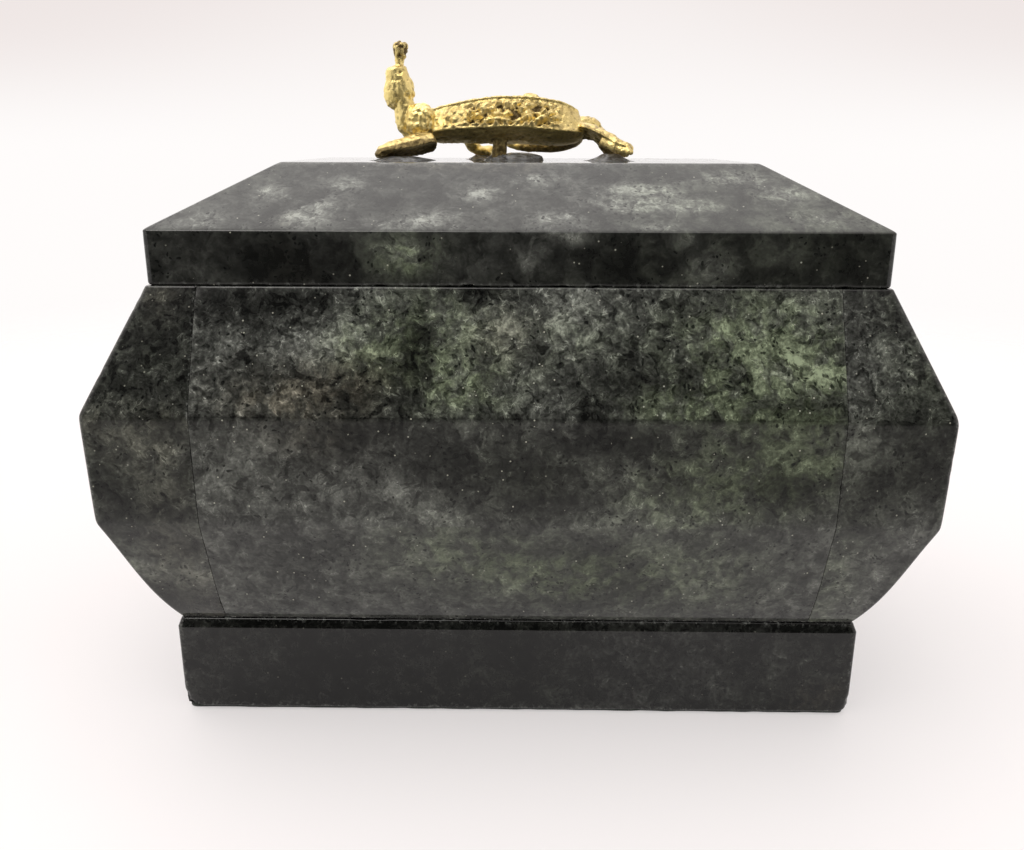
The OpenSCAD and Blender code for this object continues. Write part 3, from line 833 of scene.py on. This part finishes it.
# Painted shade for faces that look up, darkened to tone down the lamp's highlight except on the shoulders,
# and for faces that look down, most under the trunk.
topside = smooth_step(normal[:, 2], 0.1, 0.85) * (1 - on_shoulder)
under = smooth_step(-normal[:, 2], 0.1, 0.6) * np.where(np.abs(x + 2.2) < 13.5, 1.0, 0.75)
fused.vertices.foreach_set("co", ((co + ON_LID) * MM).astype(np.float32).ravel())
fused.name = "lizard_brass"
fused.shade_smooth()
for key, value in {"patina_and_shade": patina_and_shade, "under": under, "topside": topside}.items():
    layer = fused.attributes.new(key, "FLOAT", "POINT")
    layer.data.foreach_set("value", np.clip(value, 0, 1).astype(np.float32))
fused.update()
lizard = bpy.data.objects.new("lizard_brass", fused)
bpy.context.scene.collection.objects.link(lizard)
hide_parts("lizard")
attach(lizard, "lid")
print("lizard faces:", len(fused.polygons), "from", co.min(axis=0).round(2), "to", co.max(axis=0).round(2))

# %% [markdown]
# ## Glue, lining and felt
# Hardened glue creeps up the lizard's feet in low fillets, and a drop of it lies round the peg. A smear
# is a dome whose outline wanders: its radius depends on the angle through a random field. The floor
# lining and the felt under the plinth are thin sheets with a soft, slightly uneven edge.

# %% Glue smears
SMEAR_RINGS, SMEAR_AROUND, SMEAR_RIM = 16, 60, 0.03


def smear(at, long, wide, heading, height, power, seed):
    """Resin on the lid: over a wandering oval, rings run from the rim inward, and the height grows with a
    power of the way in. A power of two hollows the slope, as where resin creeps up a foot; less than one
    rounds it, as on a drop."""
    t = np.linspace(0, 1, SMEAR_RINGS)[:, None]
    a = np.linspace(0, 2 * np.pi, SMEAR_AROUND, endpoint=False)[None]
    rim = np.stack([np.cos(a) * 2 + seed, np.sin(a) * 2, 0 * a], axis=-1)
    reach = (0.72 + 0.56 * field(rim, 0.9, seed)) * (1 - 0.97 * t)
    turn = np.radians(heading)
    u, v = long * reach * np.cos(a), wide * reach * np.sin(a)
    x, y = at[0] + u * np.cos(turn) - v * np.sin(turn), at[1] + u * np.sin(turn) + v * np.cos(turn)
    z = SMEAR_RIM + height * np.minimum(t / 0.7, 1.0) ** power + 0 * a
    low = np.stack([x[:1], y[:1], 0 * x[:1]], axis=-1)
    return np.concatenate([low, np.stack([x, y, z], axis=-1)])


SMEARS = [
    ((-20.8, -6.4), 5.4, 2.4, 22, 0.7, 0.9, 3), ((-7.4, 7.3), 3.4, 1.9, 8, 0.9, 1.5, 4),
    ((16.5, -4.4), 4.2, 2.2, -16, 1.2, 1.7, 5), ((17.4, 7.0), 2.8, 1.8, 38, 0.9, 1.6, 6),
    ((-0.4, 1.0), 4.0, 3.2, 0, 1.3, 0.3, 8), ((-3.7, 0.0), 3.2, 2.6, 0, 1.3, 2.0, 9),
]
pad_points, pad_faces = join([smear(*s) for s in SMEARS])
lizard_glue = piece("lizard_glue_smears", (pad_points + ON_LID) * MM, pad_faces)
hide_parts("lizard_glue")
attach(lizard_glue, "lid")
print("glue smears:", len(SMEARS))

# %% Lining and felt
SHEET_CORNER, SHEET_PLAY, LINING_T = 1.0, 0.5, 0.6


def sheet_plate(name, low, high, half_x, half_y, seed):
    """A thin sheet with a rolled edge and a napped skin that rises and falls a little."""
    z, inset = plate_rows(low, high, (high - low) * 0.45, (), 0.2)
    x, y = rounded_rings(*centred(half_x - inset, half_y - inset), np.full((len(z), 4), SHEET_CORNER))
    points = np.stack([x, y, np.broadcast_to(z[:, None], x.shape)], axis=-1)
    wobble = (field(points * np.array([1, 1, 0.2]), 2.2, seed) - 1.0) * 0.25
    points[..., 0] += wobble * np.sign(points[..., 0])
    points[..., 1] += wobble * np.sign(points[..., 1])
    return piece(name, points * MM, stack_faces(*x.shape))


lining_x, lining_y = inner_x - SHEET_PLAY, inner_y - SHEET_PLAY
floor_lining = sheet_plate("floor_lining_flock", PLINTH_HIGH, PLINTH_HIGH + LINING_T, lining_x, lining_y, 61)
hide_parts("floor_lining")
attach(floor_lining, "box")
felt_x, felt_y = plinth_x - SHEET_PLAY, plinth_y - SHEET_PLAY
base_felt = sheet_plate("base_felt_sheet", 0.0, PLINTH_LOW, felt_x, felt_y, 63)
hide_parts("base_felt")
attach(base_felt, "box")
print("sheets:", floor_lining.name, base_felt.name)

# %% [markdown]
# ## Materials: shared helpers
# Small helpers add a node and connect it in one call. Patterns that several stones share go into one node
# group, so each plate only sets its own offset and levels.


# %% Node helpers
def feed(tree, n, values):
    """Set a node's inputs to values, or join them to other nodes' outputs."""
    for socket, value in values.items():
        if isinstance(value, bpy.types.NodeSocket):
            tree.links.new(value, n.inputs[socket])
        else:
            n.inputs[socket].default_value = value


def add(tree, kind, values=None, **settings):
    """A new node with its settings and inputs."""
    n = tree.nodes.new(kind)
    for key, value in settings.items():
        setattr(n, key, value)
    feed(tree, n, values or {})
    return n


def math_node(tree, operation, *values, clamp=False):
    """The result of one sum on up to three values."""
    inputs = dict(enumerate(values))
    return add(tree, "ShaderNodeMath", inputs, operation=operation, use_clamp=clamp).outputs[0]


def times(tree, a, b, clamp=False):
    """One value times another, held between 0 and 1 if clamped."""
    return math_node(tree, "MULTIPLY", a, b, clamp=clamp)


def plus(tree, a, b):
    """The sum of two values."""
    return math_node(tree, "ADD", a, b)


def minus(tree, a, b):
    """One value less another."""
    return math_node(tree, "SUBTRACT", a, b)


def spread(tree, value, low, high, to_low=0.0, to_high=1.0):
    """Value mapped from one range to another, smoothly and held at the ends."""
    ends = {"Value": value, "From Min": low, "From Max": high, "To Min": to_low, "To Max": to_high}
    return add(tree, "ShaderNodeMapRange", ends, interpolation_type="SMOOTHSTEP").outputs["Result"]


def noise(tree, vector, scale, detail=4.0, roughness=0.55, distortion=0.0):
    """A cloud texture's value."""
    values = {"Vector": vector, "Scale": scale, "Detail": detail, "Roughness": roughness}
    return add(tree, "ShaderNodeTexNoise", {**values, "Distortion": distortion}).outputs["Fac"]


def blend(tree, factor, a, b, mode="MIX"):
    """One colour laid over another by a factor."""
    settings = {"data_type": "RGBA", "blend_type": mode, "clamp_factor": True}
    return add(tree, "ShaderNodeMix", {0: factor, 6: a, 7: b}, **settings).outputs[2]


def attribute(tree, name):
    """A value that the points carry."""
    return add(tree, "ShaderNodeAttribute", attribute_name=name).outputs["Fac"]


def millimetres(tree, offset=(0, 0, 0), turn=(0, 0, 0), flatten=1.0):
    """Object coordinates in millimetres, turned and moved. Flatten presses a pattern flat along z."""
    place = add(tree, "ShaderNodeTexCoord").outputs["Object"]
    scale = (1 / MM, 1 / MM, flatten / MM)
    values = {"Vector": place, "Location": offset, "Rotation": turn, "Scale": scale}
    return add(tree, "ShaderNodeMapping", values).outputs[0]


def light_path(tree):
    """The kinds of ray, and a value that is 1 for what the camera, a mirror or clear resin shows."""
    path = add(tree, "ShaderNodeLightPath").outputs
    shown = math_node(tree, "MAXIMUM", path["Is Camera Ray"], path["Is Glossy Ray"])
    return path, math_node(tree, "MAXIMUM", shown, path["Is Transmission Ray"])


def ripples(tree, height, strength, distance):
    """Normals that follow a fine height, whose distance is in millimetres."""
    bump = add(tree, "ShaderNodeBump", {"Height": height, "Strength": strength, "Distance": distance * MM})
    return bump.outputs["Normal"]


def new_material(name):
    """An empty material, its node tree and its Principled shader."""
    material = bpy.data.materials.new(name)
    material.use_nodes = True
    return material, material.node_tree, material.node_tree.nodes["Principled BSDF"]


def new_group(name, inputs, outputs):
    """An empty shader group whose inputs and outputs are given as names with kinds."""
    tree = bpy.data.node_groups.new(name, "ShaderNodeTree")
    for way, sockets in (("INPUT", inputs), ("OUTPUT", outputs)):
        for key, kind in sockets.items():
            tree.interface.new_socket(key, in_out=way, socket_type=kind)
    return tree, tree.nodes.new("NodeGroupInput").outputs, tree.nodes.new("NodeGroupOutput")


def rgb(r, g, b):
    """A colour with full alpha."""
    return (r, g, b, 1.0)


print("node helpers ready")

# %% [markdown]
# ## Serpentine
# Polished serpentine is dark green to black, with feathery pale clouds, moss and brown tints, black
# flecks and a few bright glints. The group takes coordinates in millimetres and the plate's cloud value,
# breaks the cloud edges up with several sizes of noise, draws fine threads, and puts out colour,
# roughness and a height for fine pits. The tone is a sum, and its exponential times the plate's level is
# the brightness, so the clouds scale the ground instead of adding to it.

# %% Serpentine group
FLOAT, VECTOR, COLOUR = "NodeSocketFloat", "NodeSocketVector", "NodeSocketColor"
CARRIED = ("Cloud", "Moss", "Rust", "Arris", "Depth")
WARP, DARKEST, PALEST = 3.0, 0.004, 0.4
BLACK_FLECK, PALE_GLINT, WORN_EDGE = rgb(0.005, 0.006, 0.005), rgb(0.46, 0.46, 0.38), rgb(0.22, 0.23, 0.21)
PLAIN_TINT, MOSS_TINT, RUST_TINT = rgb(0.96, 1.0, 0.89), rgb(0.88, 1.04, 0.67), rgb(1.05, 0.99, 0.77)
stone, inp, out = new_group(
    "serpentine",
    {"Vector": VECTOR, **dict.fromkeys((*CARRIED, "Level", "Wear"), FLOAT)},
    {"Color": COLOUR, "Roughness": FLOAT, "Height": FLOAT},
)
straight, depth = inp["Vector"], inp["Depth"]


def fine_lines(source, middle, wide, narrow, scale, low, high):
    """Lines where a noise crosses a middle value, kept only where a second noise is high."""
    off = math_node(stone, "ABSOLUTE", minus(stone, source, middle))
    kept = spread(stone, noise(stone, straight, scale, 1.0), low, high)
    return times(stone, spread(stone, off, wide, narrow), kept)


def specks(vector, scale, wide, narrow, kept):
    """Round specks about scattered middles, kept only where a mask is high."""
    values = {"Vector": vector, "Scale": scale, "Randomness": 1.0}
    away = add(stone, "ShaderNodeTexVoronoi", values, feature="F1").outputs["Distance"]
    return times(stone, spread(stone, away, wide, narrow), kept)


shift = add(stone, "ShaderNodeTexNoise", {"Vector": straight, "Scale": 0.3, "Detail": 3.0}).outputs["Color"]
shift = add(stone, "ShaderNodeVectorMath", {0: shift, 1: (0.5,) * 3}, operation="SUBTRACT").outputs[0]
moved = {0: shift, 1: (WARP,) * 3, 2: straight}
warped = add(stone, "ShaderNodeVectorMath", moved, operation="MULTIPLY_ADD").outputs[0]
wide = noise(stone, warped, 0.1, 2.0)
patch = spread(stone, noise(stone, warped, 0.3, 3.0, 0.6), 0.36, 0.64)
mid = noise(stone, warped, 0.8, 3.0, 0.6, 0.6)
grain = noise(stone, straight, 2.2, 1.5, 0.6, 0.5)
tone = times(stone, inp["Cloud"], 1.1)
for part, amount, fine in ((wide, 1.6, False), (patch, 0.9, False), (mid, 3.2, True), (grain, 1.6, True)):
    about = minus(stone, part, 0.5)
    about = times(stone, about, depth) if fine else about
    tone = math_node(stone, "MULTIPLY_ADD", about, amount, tone)
blotch = times(stone, spread(stone, noise(stone, warped, 0.55, 2.0, 0.5, 0.5), 0.57, 0.64), depth)
tone = minus(stone, tone, times(stone, blotch, 0.8))
thread = fine_lines(noise(stone, warped, 0.33, 2.0, 0.5, 0.8), 0.5, 0.016, 0.005, 0.5, 0.54, 0.66)
tick = fine_lines(noise(stone, warped, 0.9, 1.0, 0.5, 0.6), 0.52, 0.03, 0.012, 0.8, 0.58, 0.66)
thread = times(stone, math_node(stone, "MAXIMUM", thread, tick), depth)
tone = plus(stone, tone, times(stone, thread, 0.8))
value = times(stone, math_node(stone, "EXPONENT", tone), inp["Level"])
value = math_node(stone, "MINIMUM", math_node(stone, "MAXIMUM", value, DARKEST), PALEST)
patchy = math_node(stone, "MULTIPLY_ADD", patch, 0.9, 0.4)
tint = blend(stone, times(stone, inp["Moss"], patchy, True), PLAIN_TINT, MOSS_TINT)
tint = blend(stone, times(stone, inp["Rust"], patchy, True), tint, RUST_TINT)
colour = blend(stone, 1.0, tint, value, "MULTIPLY")
fleck = specks(warped, 1.0, 0.3, 0.2, spread(stone, noise(stone, straight, 0.22, 2.0), 0.48, 0.6))
colour = blend(stone, times(stone, fleck, 0.85), colour, BLACK_FLECK)
glint = specks(straight, 0.8, 0.13, 0.07, spread(stone, noise(stone, straight, 0.45, 1.0), 0.54, 0.59))
glint = times(stone, glint, times(stone, inp["Level"], 17.0, True))
colour = blend(stone, glint, colour, PALE_GLINT)
scuffed = spread(stone, noise(stone, straight, 1.1, 3.0, 0.7), 0.52, 0.68)
worn = times(stone, times(stone, inp["Arris"], scuffed), inp["Wear"])
shine = math_node(stone, "MULTIPLY_ADD", mid, 0.014, 0.004)
polish = noise(stone, straight, 0.06, 1.0)
feed(stone, out, {
    "Color": blend(stone, worn, colour, WORN_EDGE),
    "Roughness": math_node(stone, "MULTIPLY_ADD", worn, 0.3, shine),
    "Height": math_node(stone, "MULTIPLY_ADD", polish, 1.0, times(stone, fleck, -0.3)),
})
print("serpentine group:", len(stone.nodes), "nodes")

# %% [markdown]
# Every plate gets a material of its own, because each was cut from another place in the block: the
# pattern is turned and moved, and its level and wear differ. The lid's polish is the flattest.

# %% Stone materials
STONE_IOR, PIT_DEPTH = 1.42, 0.4
RIPPLE, LID_RIPPLE = 0.03, 0.003


def serpentine(name, offset, turn, level, wear, ripple):
    """A stone material: the group on this plate's own coordinates, turned and moved."""
    material, tree, shader = new_material(name)
    values = {key: attribute(tree, key.lower()) for key in CARRIED}
    values |= {"Vector": millimetres(tree, offset, turn), "Level": level, "Wear": wear}
    pattern = add(tree, "ShaderNodeGroup", values, node_tree=stone).outputs
    feed(tree, shader, {
        "Base Color": pattern["Color"], "Roughness": pattern["Roughness"], "IOR": STONE_IOR,
        "Normal": ripples(tree, pattern["Height"], ripple, PIT_DEPTH),
    })
    return material


STONES = {
    front_wall: ((0, 0, 0), (0, 0, 0), 0.062, 0.25, "wall_stone"),
    back_wall: ((210, 40, 90), (0.1, 0.2, 0.0), 0.062, 0.25, "wall_stone"),
    left_wall: ((-340, 60, 15), (0.0, 0.4, 0.3), 0.034, 0.5, "side_stone"),
    right_wall: ((430, -80, 35), (0.3, 0.0, 0.2), 0.045, 0.5, "side_stone"),
    plinth: ((55, 310, -70), (0.2, 0.1, 0.4), 0.012, 0.8, "plinth_stone"),
    lid_slab: ((-75, -150, 260), (0.0, 0.0, 0.2), 0.048, 0.6, "lid_stone"),
    lid_register: ((95, 175, 330), (0.2, 0.3, 0.0), 0.05, 0.3, "lid_stone"),
}
for plate, (offset, turn, level, wear, slot) in STONES.items():
    ripple = LID_RIPPLE if plate is lid_slab else RIPPLE
    plate.data.materials.append(serpentine(plate.name, offset, turn, level, wear, ripple))
print("stones:", len(STONES))

# %% [markdown]
# ## Brass
# The casting is yellow brass that has been brushed bright on its high spots and left dark brown in its
# hollows. One attribute steers the dark patina together with painted shade on the belly, round the post,
# on the near faces of the limbs and tail and in the groove under the lip; "under" and "topside" darken the
# faces that look down and up, which is painted shade, and fine noise breaks all of it up.

# %% Brass
POLISHED, BRUSHED, PAINTED_TOP_SHADE = rgb(1.0, 0.815, 0.34), rgb(0.9, 0.71, 0.26), rgb(0.5, 0.385, 0.18)
PAINTED_UNDER_SHADE, PATINA_AND_SHADE_BROWN = rgb(0.46, 0.34, 0.17), rgb(0.14, 0.1, 0.045)
brass, tree, shader = new_material("cast_brass")
place = millimetres(tree)
fine = noise(tree, place, 1.5, 4.0, 0.65)
stain = noise(tree, place, 0.4, 3.0)
uneven = times(tree, minus(tree, fine, 0.5), 0.85)
# Patina in the hollows and painted shade share one mask, which darkens towards the patina colour.
dark = spread(tree, plus(tree, attribute(tree, "patina_and_shade"), uneven), 0.12, 0.9)
shade = spread(tree, plus(tree, attribute(tree, "under"), uneven), 0.1, 0.95)
bright = blend(tree, spread(tree, stain, 0.35, 0.7), POLISHED, BRUSHED)
# Painted shade: tops turn browner to tone down the lamp's highlight, undersides turn darker brown.
bright = blend(tree, times(tree, attribute(tree, "topside"), 0.7), bright, PAINTED_TOP_SHADE)
bright = blend(tree, times(tree, shade, 0.5), bright, PAINTED_UNDER_SHADE)
feed(tree, shader, {
    "Base Color": blend(tree, dark, bright, PATINA_AND_SHADE_BROWN), "Metallic": 0.9,
    "Roughness": spread(tree, dark, 0.0, 1.0, 0.36, 0.55), "Normal": ripples(tree, fine, 0.8, 0.2),
})
lizard.data.materials.append(brass)
print("brass ready")

# %% [markdown]
# ## Glue, felt and lining finishes
# Hardened glue is a shiny resin: nearly black in the joints, and pale, cloudy and streaky under the feet,
# where the streaks are partly the resin's own and partly painted reflection.
# Felt and flock are matt, with a short nap that noise imitates.

# %% Other finishes
ROUGHNESS_SPAN, NAP_DEPTH = 0.08, 0.3


def plain_finish(name, low, high, scale, roughness, bump_strength, sheen=0.0, span=(0.3, 0.7), flatten=1.0):
    """A material whose colour wanders between two shades with fine noise, which also gives the nap or the
    ripple. The noise is pressed flat by flatten, so that streaks lie level."""
    material, tree, shader = new_material(name)
    fine = noise(tree, millimetres(tree, flatten=flatten), scale, 4.0, 0.6)
    smoothest, roughest = roughness - ROUGHNESS_SPAN, roughness + ROUGHNESS_SPAN
    feed(tree, shader, {
        "Base Color": blend(tree, spread(tree, fine, *span), low, high), "Sheen Weight": sheen,
        "Roughness": spread(tree, fine, 0.3, 0.7, smoothest, roughest),
        "Normal": ripples(tree, fine, bump_strength, NAP_DEPTH),
    })
    return material


joint_glue = plain_finish("joint_glue", rgb(0.012, 0.012, 0.011), rgb(0.3, 0.3, 0.27), 1.4, 0.25, 0.3,
                          span=(0.56, 0.66))
# Its pale and grey level streaks are partly painted reflection of the backdrop and the stone.
smear_glue = plain_finish("smear_glue", rgb(0.42, 0.39, 0.35), rgb(1.0, 0.98, 0.95), 0.6, 0.12, 0.8,
                          span=(0.4, 0.58), flatten=3.0)
feed(smear_glue.node_tree, smear_glue.node_tree.nodes["Principled BSDF"], {
    "Transmission Weight": 0.3, "Subsurface Weight": 0.8, "Subsurface Radius": (1.0, 0.95, 0.85),
    "Subsurface Scale": 2.0 * MM,
})
felt = plain_finish("pressed_felt", rgb(0.02, 0.026, 0.022), rgb(0.07, 0.085, 0.07), 4.0, 0.9, 0.8, 0.3)
flock = plain_finish("flock", rgb(0.05, 0.012, 0.012), rgb(0.13, 0.035, 0.03), 5.0, 0.9, 0.9, 0.5)
lizard_glue.data.materials.append(smear_glue)
base_felt.data.materials.append(felt)
floor_lining.data.materials.append(flock)
for name in ("plinth_glue", "corner_glue", "register_glue"):
    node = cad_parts[name]
    node.data.materials.clear()
    node.data.materials.append(joint_glue)
print("finishes:", [m.name for m in (joint_glue, smear_glue, felt, flock)])

# %% [markdown]
# ## Floor and light
# The box stands on a white sheet in soft white light from all round. The floor is a round grid that fades
# out at its rim. Where the camera or a mirror image shows it, it glows a little, as the sheet in the
# photograph is nearly burnt out. The dark patch behind the camera is what the polished rim of the lid
# mirrors.
# Far in front, the sheet that mirror images show is darker and does not glow: a painted shadow.

# %% Floor
FLOOR_R, FADE_FROM, FADE_TO = 480.0, 230.0, 0.98
FLOOR_DROP, FLOOR_AROUND, FLOOR_ROWS = 0.02, 96, 40
ring_r = np.concatenate([[0.5], np.geomspace(2, FLOOR_R, FLOOR_ROWS)])[::-1, None]
ring_a = np.linspace(0, 2 * np.pi, FLOOR_AROUND, endpoint=False)
floor_x, floor_y = ring_r * np.cos(ring_a), ring_r * np.sin(ring_a)
floor_points = np.stack([floor_x, floor_y, 0 * floor_x - FLOOR_DROP], axis=-1)
middle_face = tuple(range(FLOOR_ROWS * FLOOR_AROUND, (FLOOR_ROWS + 1) * FLOOR_AROUND))
floor_faces = [tuple(q) for q in ring_quads(*floor_points.shape[:2]).tolist()] + [middle_face]
floor = piece("floor", floor_points * MM, floor_faces)
white, tree, sheet = new_material("white_sheet")
spot = add(tree, "ShaderNodeTexCoord").outputs["Object"]
away = add(tree, "ShaderNodeSeparateXYZ", {"Vector": spot}).outputs["Y"]
path, seen = light_path(tree)
weave = blend(tree, noise(tree, spot, 6.0, 2.0), rgb(0.83, 0.80, 0.795), rgb(0.87, 0.84, 0.835))
# Painted shadow: far in front, mirror images see a darker sheet without glow.
clear_of_painted_shadow = math_node(tree, "MAXIMUM", spread(tree, away, -0.17, -0.09), path["Is Camera Ray"])
shown = blend(tree, clear_of_painted_shadow, rgb(0.3, 0.29, 0.288), rgb(0.46, 0.44, 0.438))
cloth = blend(tree, seen, weave, shown)
feed(tree, sheet, {"Base Color": cloth, "Roughness": 0.9, "Specular IOR Level": 0.1})
lift = spread(tree, away, -0.1, 0.0, 0.52, 0.45)
strength = times(tree, times(tree, seen, clear_of_painted_shadow), lift)
glow = add(tree, "ShaderNodeEmission", {"Color": rgb(1.0, 0.965, 0.96), "Strength": strength})
lit = add(tree, "ShaderNodeAddShader", {0: sheet.outputs[0], 1: glow.outputs[0]})
reach = add(tree, "ShaderNodeVectorMath", {0: spot}, operation="LENGTH").outputs["Value"]
fade = spread(tree, reach, FADE_FROM * MM, FLOOR_R * MM * FADE_TO)
clear = add(tree, "ShaderNodeBsdfTransparent")
mixed = add(tree, "ShaderNodeMixShader", {0: fade, 1: lit.outputs[0], 2: clear.outputs[0]})
feed(tree, tree.nodes["Material Output"], {"Surface": mixed.outputs[0]})
floor.data.materials.append(white)
print("floor radius", FLOOR_R, "mm")

# %% [markdown]
# The world is a pale backdrop. On it lie four round patches, each given by a direction, the cosines at
# its edge and where it is full, and a colour: a broad lamp above and behind the box, the dark patch
# behind the camera, a small lamp above the camera, and a strong small light that only mirror images show.

# %% Light
world = bpy.data.worlds.new("studio")
world.use_nodes = True
bpy.context.scene.world = world
tree = world.node_tree
way = add(tree, "ShaderNodeTexCoord").outputs["Generated"]
path, seen = light_path(tree)
parts = add(tree, "ShaderNodeSeparateXYZ", {"Vector": way}).outputs
aside = math_node(tree, "POWER", times(tree, parts["X"], parts["Y"]), 2.0)
height = times(tree, parts["Z"], plus(tree, times(tree, aside, 7.5), 1.0))
backdrop = blend(tree, spread(tree, height, -0.03, 0.25), rgb(1.0, 0.975, 0.965), rgb(0.864, 0.8, 0.785))
sky = blend(tree, seen, rgb(0.85, 0.84, 0.83), backdrop)
unseen = minus(tree, 1.0, path["Is Camera Ray"])
SKY_PATCHES = [
    ((-0.33, 0.42, 0.845), 0.45, 0.95, rgb(2.06, 1.97, 1.93), unseen),
    ((0.0, -0.97, 0.22), 0.74, 0.85, rgb(0.035, 0.035, 0.035), unseen),
    ((0.0, -0.34, 0.94), 0.93, 0.985, rgb(2.6, 2.5, 2.45), unseen),
    ((-0.3, -0.4, 0.866), 0.94, 0.985, rgb(5.6, 5.4, 5.2), path["Is Glossy Ray"]),
]
for toward, edge, full, colour, rays in SKY_PATCHES:
    cosine = add(tree, "ShaderNodeVectorMath", {0: way, 1: toward}, operation="DOT_PRODUCT").outputs["Value"]
    sky = blend(tree, times(tree, spread(tree, cosine, edge, full), rays), sky, colour)
feed(tree, tree.nodes["Background"], {"Color": sky, "Strength": 1.0})

bpy.context.scene.view_settings.view_transform = "Standard"
print("sky patches:", len(SKY_PATCHES))
